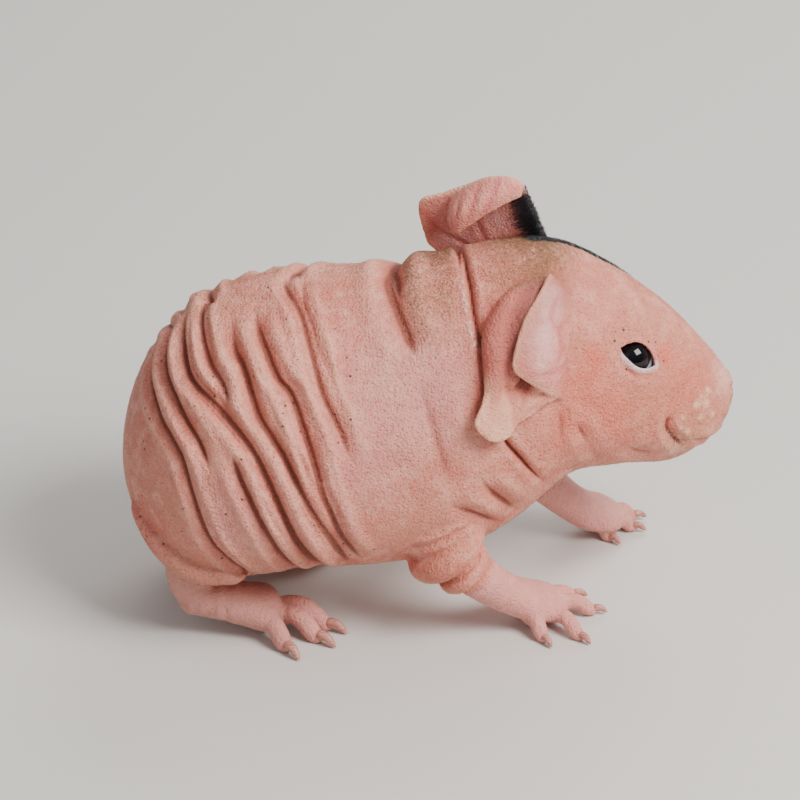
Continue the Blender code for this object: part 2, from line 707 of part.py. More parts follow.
def almond(name, side):
    """The opening between the lids, as a prism along the eye's aim."""
    aim, length, up = eye_axes(side)
    centre = eye_centre(side)
    bm = bmesh.new()
    bmesh.ops.create_circle(bm, cap_ends=True, segments=26, radius=1.0)
    for vert in bm.verts:
        along = vert.co.x
        arch = abs(vert.co.y) ** EYE_POINT
        upper = EYE_RISE * arch * (1 - EYE_SKEW[0] * along)
        lower = -EYE_FALL * arch * (1 + EYE_SKEW[1] * along)
        lift = upper if vert.co.y > 0 else lower
        vert.co = centre + length * along * EYE_LENGTH / 2 + up * lift + aim * EYE_RADIUS * 0.42
    grown_faces = bmesh.ops.extrude_face_region(bm, geom=bm.faces[:])
    moved = [item for item in grown_faces["geom"] if isinstance(item, bmesh.types.BMVert)]
    bmesh.ops.translate(bm, verts=moved, vec=aim * EYE_RADIUS * 1.4)
    return new_object(name, bm)


def ball(name, centre, radius, rings, sides):
    bm = unit_ball(rings, sides)
    bmesh.ops.scale(bm, vec=(radius, radius, radius), verts=bm.verts)
    bmesh.ops.translate(bm, vec=centre, verts=bm.verts)
    return new_object(name, bm)


def eyes_and_openings(head):
    for side, word in ((-1, "right"), (1, "left")):
        socket = ball("socket", eye_centre(side), EYE_RADIUS + GAP, 12, 16)
        opening = almond("opening", side)
        carve(head, (socket, opening))
        remove((socket, opening))
        ball(f"eye_{word}", eye_centre(side), EYE_RADIUS, 10, 14)


def sheet(name, net):
    """A thin bent sheet through a net of places, alike on both faces."""
    rows, columns, _ = net.shape
    bm = bmesh.new()
    bmesh.ops.create_grid(bm, x_segments=EAR_GRID[0], y_segments=EAR_GRID[1], size=1.0)
    bmesh.ops.triangulate(bm, faces=bm.faces)
    across = np.array([(vert.co.x + 1) / 2 for vert in bm.verts])
    down = np.array([(1 - vert.co.y) / 2 for vert in bm.verts])
    over_rows = np.linspace(0.0, 1.0, rows)
    over_columns = np.linspace(0.0, 1.0, columns)
    places = np.zeros((len(across), 3))
    for k in range(3):
        lines = [smooth_through(over_columns, row, across) for row in net[:, :, k]]
        lines = np.array(lines)
        for i, t in enumerate(down):
            places[i, k] = smooth_through(over_rows, lines[:, i], np.array([t]))[0]
    for vert, place in zip(bm.verts, places):
        vert.co = place
    obj = new_object(name, bm)
    solid = obj.modifiers.new("thick", "SOLIDIFY")
    solid.thickness = EAR_THICKNESS
    solid.offset = 0.0
    apply_modifiers(obj)
    return face_outward(obj)


def cord(name, line, radii):
    """A rounded ridge through the places of a line, given in metres, with a radius in mm at each."""
    rows = [(*place, radius, radius) for place, radius in zip(line / MM, radii)]
    return loft(name, rows, 12, 7)


def cord_on_trunk(name, rows, side):
    """A rounded ridge over the trunk through rows of millimetres along it, degrees, lift and radius."""
    rows = np.array(rows, float)
    return cord(name, off_trunk(*rows[:, :3].T, side), rows[:, 3])


def ring(name, place, way, radius, thickness):
    """A closed round ring, from a middle, the way it faces, and two radii in millimetres."""
    bm = bmesh.new()
    upright = Matrix.Rotation(math.pi / 2, 4, "X")
    bmesh.ops.create_circle(bm, segments=RING_SIDES, radius=thickness * MM, matrix=upright)
    bmesh.ops.translate(bm, vec=(radius * MM, 0, 0), verts=bm.verts)
    bmesh.ops.spin(
        bm,
        geom=bm.verts[:] + bm.edges[:],
        cent=(0, 0, 0),
        axis=(0, 0, 1),
        angle=math.tau,
        steps=2 * RING_SIDES,
        use_merge=True,
    )
    bmesh.ops.remove_doubles(bm, verts=bm.verts, dist=0.01 * MM)
    turn = Vector(way).to_track_quat("Z", "Y").to_matrix().to_4x4()
    bmesh.ops.transform(bm, matrix=Matrix.Translation(Vector(place) * MM) @ turn, verts=bm.verts)
    return new_object(name, bm)


def ear(name, nets, ridges, skin):
    """Sheets joined by rounded ridges, trimmed to the head that carries them."""
    body = fuse(name, ridges + [sheet("sheet", net) for net in nets])
    carve(body, (skin,))
    return body


def root_radii(line):
    return [0.0] + [EAR_ROOT_RADIUS] * (len(line) - 2) + [0.0]


def ears(skin):
    def on_head(net):
        net = np.array(net, float)
        flat = net.reshape(-1, net.shape[-1])
        places = off_trunk(flat[:, 0], flat[:, 1], flat[:, 2], -1)
        return places.reshape((*net.shape[:-1], 3))

    ridges = [cord_on_trunk("ridge", rows, -1) for rows in (RIGHT_ROLL, RIGHT_DOME)]
    ridges.append(cord("root", on_head(RIGHT_EAR_ROOT), root_radii(RIGHT_EAR_ROOT)))
    ear("ear_right", [on_head(RIGHT_FLAP), on_head(RIGHT_LOBE)], ridges, skin)
    left = [np.array(net) * MM for net in (LEFT_LEAF, LEFT_FOLD)]
    root = cord("root", np.array(LEFT_EAR_ROOT) * MM, root_radii(LEFT_EAR_ROOT))
    ear("ear_left", left, [root], skin)


def trunk_parts():
    """The trunk with its folds and face, thinned and parted into torso, neck and head.

    Also gives the skin, the whole trunk grown by the gap, which limbs and ears are trimmed to.
    """
    forms = [trunk_form()]
    forms += [loft("upper arm", rows) for rows in (UPPER_ARM_RIGHT, UPPER_ARM_LEFT)]
    forms += [ring("sleeve", *row) for row in SLEEVES]
    forms += [cord_on_trunk("skirt", SKIRT, side) for side in (-1, 1)]
    trunk = fuse("trunk", forms)
    even_skin(trunk, BODY_VOXEL, 10)
    shape_face(trunk)
    press_folds(trunk)
    wrap_eyes(trunk)
    thin_out(trunk, TRUNK_TRIANGLES)
    skin = grown(trunk, "skin", GAP)
    _, rest = part_at(trunk, "torso", "neck", *NECK_BACK)
    _, head = part_at(rest, "neck", "head", *NECK_FRONT)
    return head, skin


def toe_pieces(kind, toe):
    """A toe arched down from its root, and its claw, as forms."""
    x, y, degrees, length, lift = toe
    turn = math.radians(degrees)
    way = Vector((math.cos(turn), math.sin(turn), 0.0))
    radius = TOE_RADIUS[kind]
    claw = CLAW_LENGTH[kind]
    thick = CLAW_RADIUS[kind]
    root = Vector((x * MM, y * MM, radius * 1.9))
    reach = length * MM - claw * 0.72
    knuckle = root + way * reach * 0.42 + Vector((0, 0, radius * 0.25))
    end = Vector((root.x, root.y, radius - PAD_PRESS + lift * MM)) + way * reach
    rows = [
        (*(root - way * radius * 1.6), 0.0, 0.0),
        (*root, radius * 1.06, radius * 1.0),
        (*knuckle, radius * 0.98, radius * 0.98),
        (*(end - way * radius * 0.9), radius * 0.86, radius * 0.94),
        (*(end + way * radius * 0.62), 0.0, 0.0),
    ]
    nail_root = end - way * claw * 0.26 + Vector((0, 0, radius * 0.20))
    nail_mid = end + way * claw * 0.28 + Vector((0, 0, radius * 0.14))
    nail_end = end + way * claw * 0.72
    nail_end.z = 0.42 * MM + lift * MM
    nail = [
        (*nail_root, 0.0, 0.0),
        (*nail_root.lerp(nail_mid, 0.35), thick, thick * 0.9),
        (*nail_mid, thick * 0.86, thick * 0.88),
        (*nail_mid.lerp(nail_end, 0.6), thick * 0.52, thick * 0.58),
        (*nail_end, 0.0, 0.0),
    ]
    return np.array(rows) / MM, np.array(nail) / MM


def limb(word, kind, forms, toes, cut, skin, mirror=False):
    """A leg and its foot, trimmed to the trunk, with sockets for the claws."""
    flip = -1 if mirror else 1
    names = (f"{kind}leg_{word}", f"{kind}foot_{word}")

    def placed(rows):
        rows = np.array(rows, float)
        rows[:, 1] *= flip
        if mirror:
            rows[:, :3] += np.array(LEFT_HIND_SHIFT) / MM
        return rows

    pieces = [loft("form", placed(rows)) for rows in forms]
    nails = []
    for toe in toes:
        toe_rows, nail_rows = toe_pieces(kind, toe)
        pieces.append(loft("toe", placed(toe_rows), 14, 12))
        nails.append(placed(nail_rows))
    body = fuse("limb", pieces)
    even_skin(body, LIMB_VOXEL, 4)
    thin_out(body, LIMB_TRIANGLES)
    cut_off(body, Vector((0, 0, 0)), Vector((0, 0, -1)))
    carve(body, (skin,))
    centre = Vector(placed([(*cut[0], 0, 0)])[0][:3]) * MM
    _, foot = part_at(body, names[0], names[1], centre, cut[1])
    for number, rows in enumerate(nails, 1):
        claw = loft(f"claw_{kind}_{word}_{number}", rows, 6, 6)
        socket = grown(claw, "socket", GAP)
        carve(foot, (socket,))
        remove((socket,))


def stand_on_floor():
    """Sets the whole figure with its lowest point on the floor, centred over the origin."""
    corners = np.vstack([places_of(obj.data) for obj in bpy.data.objects])
    low = corners.min(axis=0)
    high = corners.max(axis=0)
    shift = np.array(((low[0] + high[0]) / 2, (low[1] + high[1]) / 2, low[2]))
    for obj in bpy.data.objects:
        set_places(obj.data, places_of(obj.data) - shift)


def finish(name, colour, roughness):
    material = bpy.data.materials.new(name)
    material.use_nodes = True
    shader = material.node_tree.nodes["Principled BSDF"]
    shader.inputs["Base Color"].default_value = (*colour, 1.0)
    shader.inputs["Roughness"].default_value = roughness
    return material


def colour_parts():
    """Each part's own material: the kind of surface comes first in its name."""
    kinds = (
        ("eye_", (0.012, 0.010, 0.012), 0.08),
        ("claw_", (0.55, 0.33, 0.27), 0.35),
        ("ear_", (0.80, 0.47, 0.41), 0.5),
        ("fore", (0.68, 0.44, 0.42), 0.5),
        ("hind", (0.66, 0.42, 0.40), 0.5),
        ("", (0.72, 0.43, 0.35), 0.55),
    )
    for obj in bpy.data.objects:
        kind = next(kind for kind in kinds if obj.name.startswith(kind[0]))
        obj.data.materials.clear()
        obj.data.materials.append(finish(obj.name, *kind[1:]))
        obj.data.name = obj.name


def clear_scene():
    for obj in list(bpy.data.objects):
        bpy.data.objects.remove(obj)


def main():
    clear_scene()
    head, skin = trunk_parts()
    limb("right", "fore", [FOREARM_RIGHT], TOES["fore_right"], WRIST_RIGHT, skin)
    limb("left", "fore", [FOREARM_LEFT], TOES["fore_left"], WRIST_LEFT, skin)
    hind = [SHANK_RIGHT, SOLE_RIGHT]
    limb("right", "hind", hind, TOES["hind_right"], ANKLE_RIGHT, skin)
    limb("left", "hind", hind, TOES["hind_right"], ANKLE_RIGHT, skin, mirror=True)
    ears(skin)
    remove((skin,))
    eyes_and_openings(head)
    stand_on_floor()
    colour_parts()


main()
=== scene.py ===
"""A skinny pig pup, life size: its bare folded skin, wet eyes, claws and short hair over the solids.

Frame: +X towards the nose, +Y to the animal's left, +Z up, metres, with the floor at z = 0.
The skin is made again from the named sizes of the solids, as one closed surface with no seam, and then
gets its folds, lids, mouth and nostrils. Masks kept on its points tell its material where the creases,
ear rims, feet and dark patch are, and tell the coat where to grow.
"""

import math

import bmesh
import bpy
import numpy as np
from bpy.props import FloatProperty, FloatVectorProperty, IntProperty, PointerProperty
from mathutils import Matrix, Vector, noise
from mathutils.bvhtree import BVHTree
from mathutils.kdtree import KDTree


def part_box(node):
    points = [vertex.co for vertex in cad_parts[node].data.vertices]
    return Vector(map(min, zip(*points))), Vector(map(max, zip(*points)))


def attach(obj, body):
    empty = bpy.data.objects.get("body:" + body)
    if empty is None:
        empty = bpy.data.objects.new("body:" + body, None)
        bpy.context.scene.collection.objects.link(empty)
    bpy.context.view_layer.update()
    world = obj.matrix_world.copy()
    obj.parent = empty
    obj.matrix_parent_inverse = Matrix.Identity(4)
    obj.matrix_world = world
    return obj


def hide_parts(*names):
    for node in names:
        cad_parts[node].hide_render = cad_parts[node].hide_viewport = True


bl_info = {
    "name": "Skinny pig pup",
    "version": (1, 0, 0),
    "blender": (4, 5, 0),
    "location": "3D View > Sidebar > Pup",
    "description": "Skin, eyes, claws and coat of a hairless guinea pig pup",
    "category": "Object",
}

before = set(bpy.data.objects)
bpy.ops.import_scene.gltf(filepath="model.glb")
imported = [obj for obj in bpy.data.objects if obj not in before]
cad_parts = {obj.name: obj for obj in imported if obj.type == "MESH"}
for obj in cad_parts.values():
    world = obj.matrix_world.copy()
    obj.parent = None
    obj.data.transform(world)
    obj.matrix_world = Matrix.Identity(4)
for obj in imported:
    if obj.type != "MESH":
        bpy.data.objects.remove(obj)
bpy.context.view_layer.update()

MM = 0.001

# Sizes shared with the solids

# The trunk from rump to nose, in millimetres: x, sideways shift, height of the middle, half width,
# half height
TRUNK = np.array(
    [
        (-62.5, 0.0, 34.0, 0.0, 0.0),
        (-56.8, 0.0, 37.2, 18.5, 18.7),
        (-46.5, 0.0, 39.5, 28.0, 28.4),
        (-36.3, 0.0, 41.4, 31.0, 30.6),
        (-26.0, 0.0, 43.4, 31.5, 30.6),
        (-9.6, 0.0, 44.1, 28.5, 31.3),
        (4.7, 0.0, 46.8, 25.0, 32.1),
        (17.0, 1.2, 51.2, 21.5, 30.0),
        (27.3, 2.8, 55.0, 18.5, 24.8),
        (37.5, 4.3, 52.8, 16.8, 21.3),
        (49.8, 6.1, 47.7, 13.0, 16.5),
        (56.0, 7.1, 45.7, 10.0, 11.3),
        (60.2, 7.7, 44.8, 6.9, 6.8),
        (62.9, 8.0, 45.0, 0.0, 0.0),
    ]
)
TRUNK_RINGS = 210
TRUNK_SIDES = 160

# Limb forms through x, y and z with two half thicknesses, in millimetres
UPPER_ARM_RIGHT = (
    (-5.0, -9.0, 46.0, 0.0, 0.0),
    (-1.0, -12.6, 36.0, 10.5, 13.0),
    (3.0, -15.6, 25.4, 8.0, 9.6),
    (5.4, -16.9, 19.6, 5.4, 5.8),
    (7.2, -17.4, 16.0, 0.0, 0.0),
)
UPPER_ARM_LEFT = (
    (2.0, 7.0, 47.0, 0.0, 0.0),
    (8.0, 10.0, 38.0, 10.0, 12.0),
    (14.0, 13.0, 29.0, 8.0, 9.6),
    (18.6, 15.2, 22.6, 6.0, 6.4),
    (21.6, 16.4, 18.6, 0.0, 0.0),
)
FOREARM_RIGHT = (
    (2.5, -18.6, 24.0, 0.0, 0.0),
    (7.5, -17.6, 17.5, 4.8, 4.7),
    (12.5, -15.8, 12.4, 4.4, 4.4),
    (17.0, -13.4, 8.3, 4.5, 3.9),
    (20.8, -11.2, 5.7, 5.6, 3.6),
    (24.4, -9.6, 4.3, 6.2, 3.2),
    (27.4, -8.8, 3.3, 4.6, 2.6),
    (29.6, -8.4, 2.9, 0.0, 0.0),
)
FOREARM_LEFT = (
    (14.5, 14.0, 28.0, 0.0, 0.0),
    (21.0, 16.8, 21.5, 4.7, 4.6),
    (26.0, 19.6, 15.6, 4.4, 4.3),
    (30.6, 22.6, 10.0, 4.4, 3.9),
    (34.4, 25.0, 6.4, 5.6, 3.6),
    (38.0, 27.0, 4.6, 6.2, 3.2),
    (40.8, 28.2, 3.4, 4.6, 2.6),
    (43.0, 29.0, 3.0, 0.0, 0.0),
)
SHANK_RIGHT = (
    (-43.0, -16.6, 30.0, 0.0, 0.0),
    (-46.5, -16.6, 22.5, 5.4, 6.8),
    (-48.4, -15.8, 15.8, 4.9, 5.1),
    (-48.2, -15.2, 10.8, 4.2, 4.2),
    (-47.6, -15.0, 7.4, 0.0, 0.0),
)
SOLE_RIGHT = (
    (-51.8, -15.0, 10.4, 0.0, 0.0),
    (-48.4, -14.8, 9.2, 4.3, 4.0),
    (-43.0, -14.4, 7.8, 4.8, 3.9),
    (-37.5, -13.8, 6.3, 6.0, 4.0),
    (-33.0, -13.0, 4.8, 7.0, 4.0),
    (-29.2, -12.4, 3.6, 0.0, 0.0),
)

# Rolls of loose skin over the tops of the forearms: the middle of a ring, the way it faces, its
# radius and its thickness, in millimetres
SLEEVES = (
    ((7.4, -17.4, 17.0), (0.66, 0.15, -0.73), 4.5, 1.8),
    ((3.8, -16.9, 21.4), (0.56, 0.10, -0.80), 6.3, 2.6),
    ((20.4, 16.5, 22.4), (0.62, 0.36, -0.70), 4.6, 1.9),
)

# The roll of skin that hangs over each thigh: places on the trunk's side (millimetres along, degrees
# down from the spine, millimetres off it), with a thickness
SKIRT = (
    (-60.2, 112, 0.0, 0.0),
    (-57.5, 123, 0.4, 1.6),
    (-53.5, 129, 0.9, 2.2),
    (-48.5, 133, 1.2, 2.4),
    (-43.5, 136, 0.9, 2.2),
    (-39.0, 138, 0.4, 1.6),
    (-35.0, 140, 0.0, 0.0),
)
LEFT_HIND_SHIFT = np.array((0.5, 2.6, 0.0))

# Toes: the root (x, y), the way it points in degrees from +X, the length to the claw's end, and how
# high its end is held off the floor
TOES = {
    "fore_right": (
        (21.2, -14.0, -60.0, 8.8, 0.0),
        (26.4, -12.6, -47.0, 10.6, 0.0),
        (27.8, -8.4, 3.0, 9.9, 0.2),
        (25.4, -4.9, 8.0, 8.4, 1.6),
    ),
    "fore_left": (
        (36.6, 25.4, -44.0, 7.4, 0.0),
        (40.4, 27.6, -12.0, 7.6, 0.2),
        (40.6, 29.6, 15.0, 7.8, 0.4),
        (37.6, 31.2, 34.0, 6.8, 0.0),
    ),
    "hind_right": (
        (-33.6, -16.0, -54.0, 13.0, 0.0),
        (-29.6, -13.6, -36.0, 13.6, 0.0),
        (-29.0, -10.2, -25.0, 14.0, 0.0),
    ),
}
TOES["hind_left"] = TOES["hind_right"]
TOE_RADIUS = {"fore": 1.66, "hind": 2.05}
CLAW_LENGTH = {"fore": 3.4, "hind": 5.4}
CLAW_RADIUS = {"fore": 0.80, "hind": 1.10}

PAD_PRESS = 0.35

# The head's own frame: its pivot, and how far it is turned to the animal's left
HEAD_PIVOT = np.array((27.3, 2.8, 0.0))
HEAD_YAW = math.radians(8.4)

# Eyes, in the head's frame: forward of the pivot, off the midline, height
EYE_PLACE = (12.0, 10.2, 59.1)
EYE_RADIUS = 4.9
EYE_AIM = (0.16, 0.84, 0.46)
LID_THICKNESS = 0.6
LID_BLEND = 2.0
EYE_LENGTH = 8.8
EYE_RISE = 2.7
EYE_FALL = 2.0
EYE_SLANT = math.radians(30.0)

# How pointed the corners are, and how far the highest point lies back and the lowest point forward
EYE_POINT = 2.1
EYE_SKEW = (0.15, 0.30)

# The right ear: nets of places on the head, as millimetres along the body, degrees down from the
# spine, and millimetres off the skin
EAR_THICKNESS = 1.0
EAR_ROOT_RADIUS = 1.7
RIGHT_FLAP = (
    ((25.8, 34, -0.8), (24.6, 32, 0.2), (23.4, 30, 1.0), (22.2, 28, 1.6)),
    ((27.6, 42, -0.9), (25.0, 42, 0.5), (22.0, 41, 2.2), (19.6, 38, 3.0)),
    ((27.6, 55, -0.9), (24.6, 54, 0.6), (20.2, 52, 3.2), (16.2, 48, 4.2)),
    ((27.4, 67, -0.9), (24.2, 65, 0.7), (19.2, 61, 3.8), (13.8, 58, 4.8)),
    ((26.4, 78, -0.9), (23.6, 75, 0.7), (18.8, 70, 3.6), (13.4, 64, 4.6)),
    ((23.8, 88, -0.6), (22.2, 84, 0.9), (18.6, 76, 2.8), (14.8, 68, 4.0)),
)
RIGHT_LOBE = (
    ((10.8, 60, -0.6), (13.8, 64, -0.8), (17.2, 69, -0.8), (20.6, 76, -0.8), (23.4, 84, -0.8)),
    ((9.4, 66, 1.6), (12.2, 70, 0.8), (15.6, 74, 0.4), (19.2, 78, 0.6), (22.0, 84, 0.6)),
    ((8.0, 72, 3.2), (10.6, 76, 2.6), (13.8, 78, 1.6), (17.4, 80, 1.2), (20.8, 84, 0.8)),
    ((6.6, 77, 3.8), (8.8, 80, 3.6), (11.8, 82, 2.8), (14.8, 82, 1.8), (18.6, 84, 1.0)),
    ((7.3, 81, 3.7), (9.4, 86, 3.3), (12.2, 88, 2.6), (14.4, 85.5, 1.8), (18.0, 85, 1.0)),
)
RIGHT_ROLL = (
    (23.4, 29, -0.5, 0.0),
    (20.0, 33, -0.5, 1.6),
    (16.2, 37, -0.3, 2.3),
    (13.2, 44, 0.1, 2.7),
    (11.4, 51, 0.5, 2.9),
    (11.0, 59, 0.9, 2.6),
    (10.6, 67, 1.5, 2.0),
    (9.9, 74, 2.2, 1.4),
    (9.0, 78, 2.4, 0.0),
)

# The dome of the right ear's cup, between the roll and the flap: millimetres along, degrees, lift,
# radius
RIGHT_DOME = (
    (22.0, 36, -0.2, 0.0),
    (18.6, 42, 0.0, 2.1),
    (16.0, 50, 0.3, 2.9),
    (14.6, 58, 0.5, 2.9),
    (13.9, 66, 0.8, 2.2),
    (13.2, 73, 0.8, 0.0),
)
RIGHT_EAR_ROOT = (
    (23.4, 34, 0.2),
    (22.4, 46, 0.6),
    (21.2, 56, 0.9),
    (20.2, 67, 0.9),
    (18.8, 74, 0.6),
    (15.6, 75, 0.2),
)

# The left ear, thrown up and back over the neck: nets of x, y and z in millimetres
LEFT_LEAF = (
    ((25.0, 8.6, 76.3), (23.0, 9.6, 81.5), (21.0, 10.3, 86.5), (19.0, 10.8, 90.4)),
    ((20.5, 12.6, 73.5), (17.5, 12.8, 79.5), (14.8, 12.6, 85.0), (12.9, 12.6, 90.6)),
    ((17.0, 16.0, 69.5), (11.5, 15.4, 76.0), (7.0, 14.6, 81.5), (3.4, 13.8, 86.8)),
    ((15.4, 18.6, 65.0), (8.5, 18.0, 71.5), (3.0, 16.8, 77.0), (-1.8, 15.0, 83.8)),
    ((15.0, 20.6, 61.0), (9.0, 21.0, 64.0), (4.0, 20.0, 68.5), (-0.2, 18.2, 73.6)),
)
LEFT_FOLD = (
    ((18.8, 11.2, 90.2), (19.0, 10.0, 90.0), (19.1, 9.2, 88.9), (18.9, 9.2, 87.9)),
    ((15.8, 12.3, 90.6), (15.8, 10.0, 90.9), (15.5, 8.1, 88.9), (15.0, 8.2, 86.4)),
    ((12.0, 12.9, 90.2), (11.6, 10.0, 90.0), (10.8, 7.4, 87.0), (10.0, 7.8, 83.3)),
    ((8.0, 13.6, 88.0), (7.4, 10.6, 87.8), (6.4, 7.7, 84.6), (6.8, 7.8, 80.7)),
    ((5.8, 14.2, 85.6), (4.6, 12.0, 84.9), (4.3, 9.6, 82.3), (5.4, 8.8, 79.6)),
)
LEFT_EAR_ROOT = (
    (24.8, 8.8, 76.6),
    (20.5, 12.6, 73.3),
    (17.0, 16.0, 69.3),
    (15.3, 18.8, 64.8),
    (15.0, 20.6, 60.8),
)

# Creases between the rolls over the right forearm: the middle of a circle, the way it faces, its
# radius and its depth, in millimetres
SLEEVE_CREASES = (
    ((5.7, -17.1, 19.0), (0.60, 0.12, -0.79), 6.2, 0.5),
    ((8.9, -16.9, 15.5), (0.66, 0.15, -0.73), 4.8, 0.4),
    ((0.6, -15.2, 26.0), (0.45, 0.05, -0.89), 9.4, 0.6),
)

# Creases of the ears, as shares down and across a net: lines where the skin sinks and reddens
FLAP_VEINS = (
    ((0.18, 0.55), (0.34, 0.62), (0.46, 0.48)),
    ((0.30, 0.30), (0.46, 0.46), (0.62, 0.42), (0.74, 0.56)),
    ((0.70, 0.30), (0.78, 0.52), (0.80, 0.78)),
)
LOBE_VEINS = (
    ((0.10, 0.16), (0.34, 0.36), (0.62, 0.58), (1.0, 0.74)),
    ((0.20, 0.52), (0.60, 0.66), (1.0, 0.76)),
    ((0.48, 0.98), (0.70, 0.84), (1.0, 0.76)),
)
LEAF_VEINS = (
    ((0.78, 0.96), (0.74, 0.62), (0.66, 0.30), (0.60, 0.04)),
    ((0.40, 0.70), (0.46, 0.44), (0.52, 0.20)),
)
FOLD_VEINS = (
    ((0.34, 0.30), (0.40, 0.60), (0.44, 0.96)),
    ((0.56, 0.30), (0.60, 0.60), (0.66, 0.96)),
    ((0.76, 0.40), (0.80, 0.80)),
)

# Wrinkles round the forearms and ankles: how far down the form, its share of the way round, depth
WRINKLES = (
    (FOREARM_RIGHT, (0.27, 0.33, 0.39, 0.50)),
    (FOREARM_LEFT, (0.27, 0.34, 0.42)),
    (SHANK_RIGHT, (0.55, 0.66)),
    (SOLE_RIGHT, (0.30, 0.38, 0.47)),
)

# Detail of the skin's own

# The banks of a crease rise by a share of its depth, at a place and with a width given in half widths
# of the crease. A crease this deep, in millimetres, has its full red tint and its full painted shade
BANK = 0.42
BANK_PLACE = 2.7
BANK_WIDTH = 1.3
DEEP = 1.2

# How many fine wrinkles run beside each fold of the body, and their half width in millimetres
FINE_WRINKLES = 5
FINE_WIDTH = 0.42

# A distance in metres that is past every reach
FAR = 9.0

# How far the edge of the lids stands out over the eyeball, in millimetres
LID_EDGE = 0.7

# Creases: places as millimetres along the body and degrees down from the spine, then depth and half
# width in millimetres
BODY_FOLDS = (
    (
        (
            *((-55.6, 0), (-55.9, 28), (-53.9, 52), (-51.5, 64), (-49.1, 74), (-47.2, 88)),
            *((-45.5, 100), (-43.4, 112), (-40.0, 124), (-36.6, 138), (-33.6, 154)),
        ),
        1.3,
        1.0,
    ),
    (
        ((-51.1, -8), (-52.9, 14), (-52.5, 32), (-50.3, 48), (-48.1, 59), (-45.3, 69), (-42.6, 82)),
        1.4,
        1.0,
    ),
    (
        (
            *((-47.5, -8), (-49.1, 12), (-48.5, 32), (-46.6, 44), (-42.0, 55), (-36.6, 68)),
            *((-33.9, 76), (-31.1, 88), (-28.5, 102), (-26.2, 116), (-24.1, 128), (-22.0, 142)),
            (-20.6, 160),
        ),
        1.8,
        1.1,
    ),
    (((-43.2, -10), (-45.5, 7), (-45.0, 24), (-43.2, 38), (-40.5, 48), (-38.6, 58)), 1.4, 1.0),
    (
        (
            *((-39.6, 10), (-38.5, 32), (-36.6, 42), (-33.7, 60), (-31.1, 69), (-28.3, 78)),
            *((-25.9, 88), (-23.2, 100), (-20.4, 112), (-18.6, 121), (-16.6, 134), (-15.2, 152)),
        ),
        1.7,
        1.1,
    ),
    (
        (
            *((-35.0, 8), (-33.7, 26), (-32.0, 37), (-29.7, 48), (-26.8, 56), (-23.5, 74)),
            *((-22.0, 84), (-20.7, 94), (-18.9, 104), (-17.0, 116), (-14.6, 127), (-12.0, 140)),
        ),
        1.8,
        1.1,
    ),
    (((-29.4, -6), (-28.0, 8), (-25.3, 22), (-23.5, 36), (-20.7, 56), (-17.0, 71), (-14.4, 86)), 1.2, 1.0),
    (((-24.6, -8), (-24.7, 14), (-23.2, 26), (-21.3, 40), (-18.9, 52)), 0.6, 0.8),
    (
        ((-38.9, 72), (-37.4, 82), (-35.3, 92), (-33.1, 103), (-30.6, 116), (-27.8, 134), (-26.0, 154)),
        1.5,
        1.0,
    ),
)
SHOULDER_FOLDS = (
    (((-6.1, -26), (-7.4, -4), (-8.0, 8), (-6.6, 22), (-4.4, 36), (-1.6, 52)), 1.5, 1.7),
    (((-3.8, 42), (0.5, 72), (2.8, 92), (5.0, 108)), 0.6, 2.0),
    (
        (
            *((7.0, -36), (7.2, 10), (7.6, 24), (8.0, 38), (9.4, 62)),
            *((11.0, 78), (13.1, 92), (16.9, 107), (22.8, 136)),
        ),
        1.9,
        0.55,
    ),
    (((7.0, 96), (11.2, 114), (13.7, 124), (18.4, 146)), 1.15, 1.2),
    (((2.0, 106), (8.6, 122), (14.4, 142)), 0.9, 1.2),
)
CHEEK_FOLDS = (
    (((22.6, 88), (23.4, 97), (23.4, 112)), 0.6, 1.3),
    (((26.0, 98), (28.0, 108), (30.3, 120), (33.4, 138)), 1.2, 0.95),
    (((37.0, 118), (41.0, 128), (46.0, 132)), 0.6, 1.2),
    (((47.6, 95), (46.9, 101), (46.9, 106), (47.8, 112), (49.2, 118), (50.6, 126)), 1.2, 0.8),
)

# Patches on both sides, as millimetres along the body, degrees down from the spine, reach in
# millimetres and strength: flushed skin round the eye and over the cheek and the muzzle
FLUSH = (
    *((31.2, 69, 2.4, 1.0), (29.7, 77, 2.4, 0.8), (45.8, 56, 2.0, 1.2), (36.5, 88, 6.0, 0.5)),
    *((27.0, 93, 5.5, 0.6), (23.0, 101, 5.0, 0.5), (50.5, 66, 6.5, 0.6), (33.0, 106, 5.0, 0.45)),
)

# Pale, raised blotches on the muzzle
CREAM = (
    *((55.7, 70, 1.1, 1.0), (52.9, 85, 1.1, 1.0), (55.3, 84, 1.2, 0.9), (50.1, 96, 0.9, 0.9)),
    *((55.9, 119, 1.2, 0.8), (51.1, 108, 1.0, 0.8), (54.2, 77, 0.8, 0.8), (53.6, 97, 1.0, 0.8)),
    *((56.6, 96, 1.0, 0.8), (53.0, 118, 1.0, 0.8), (58.4, 70, 1.0, 0.6), (49.4, 104, 0.8, 0.7)),
)

# The rough pad beside the mouth, the bristles below it and the pale tip of the nose
PAD = ((51.8, 109, 4.2, 1.3), (43.5, 86, 5.5, 0.5))
BRISTLES = ((49.6, 124, 1.8, 1.0), (47.8, 113, 1.4, 0.6))
NOSE = ((60.2, 54, 3.4, 0.9), (61.0, 20, 3.4, 0.6))

# Painted cool light: a cooler, paler tint behind the shoulder and low on the flank
PAINTED_COOL_LIGHT = ((-3.0, 62, 13.0, 1.0), (-16.0, 88, 10.0, 0.5), (-38.0, 100, 10.0, 0.6))

# Where dry skin flakes beside the neck's crease: millimetres along the body and degrees down
FLAKES = np.array(((6.1, 20.0), (6.5, 32.0), (7.2, 42.0), (8.0, 52.0)))

# The bottom of the right ear's cup: millimetres along, degrees down, millimetres off the trunk
CUP = np.array(((20.2, 31, 1.4), (18.0, 38, 2.4), (15.9, 45, 3.0), (14.7, 51, 3.2), (14.0, 58, 3.2)))
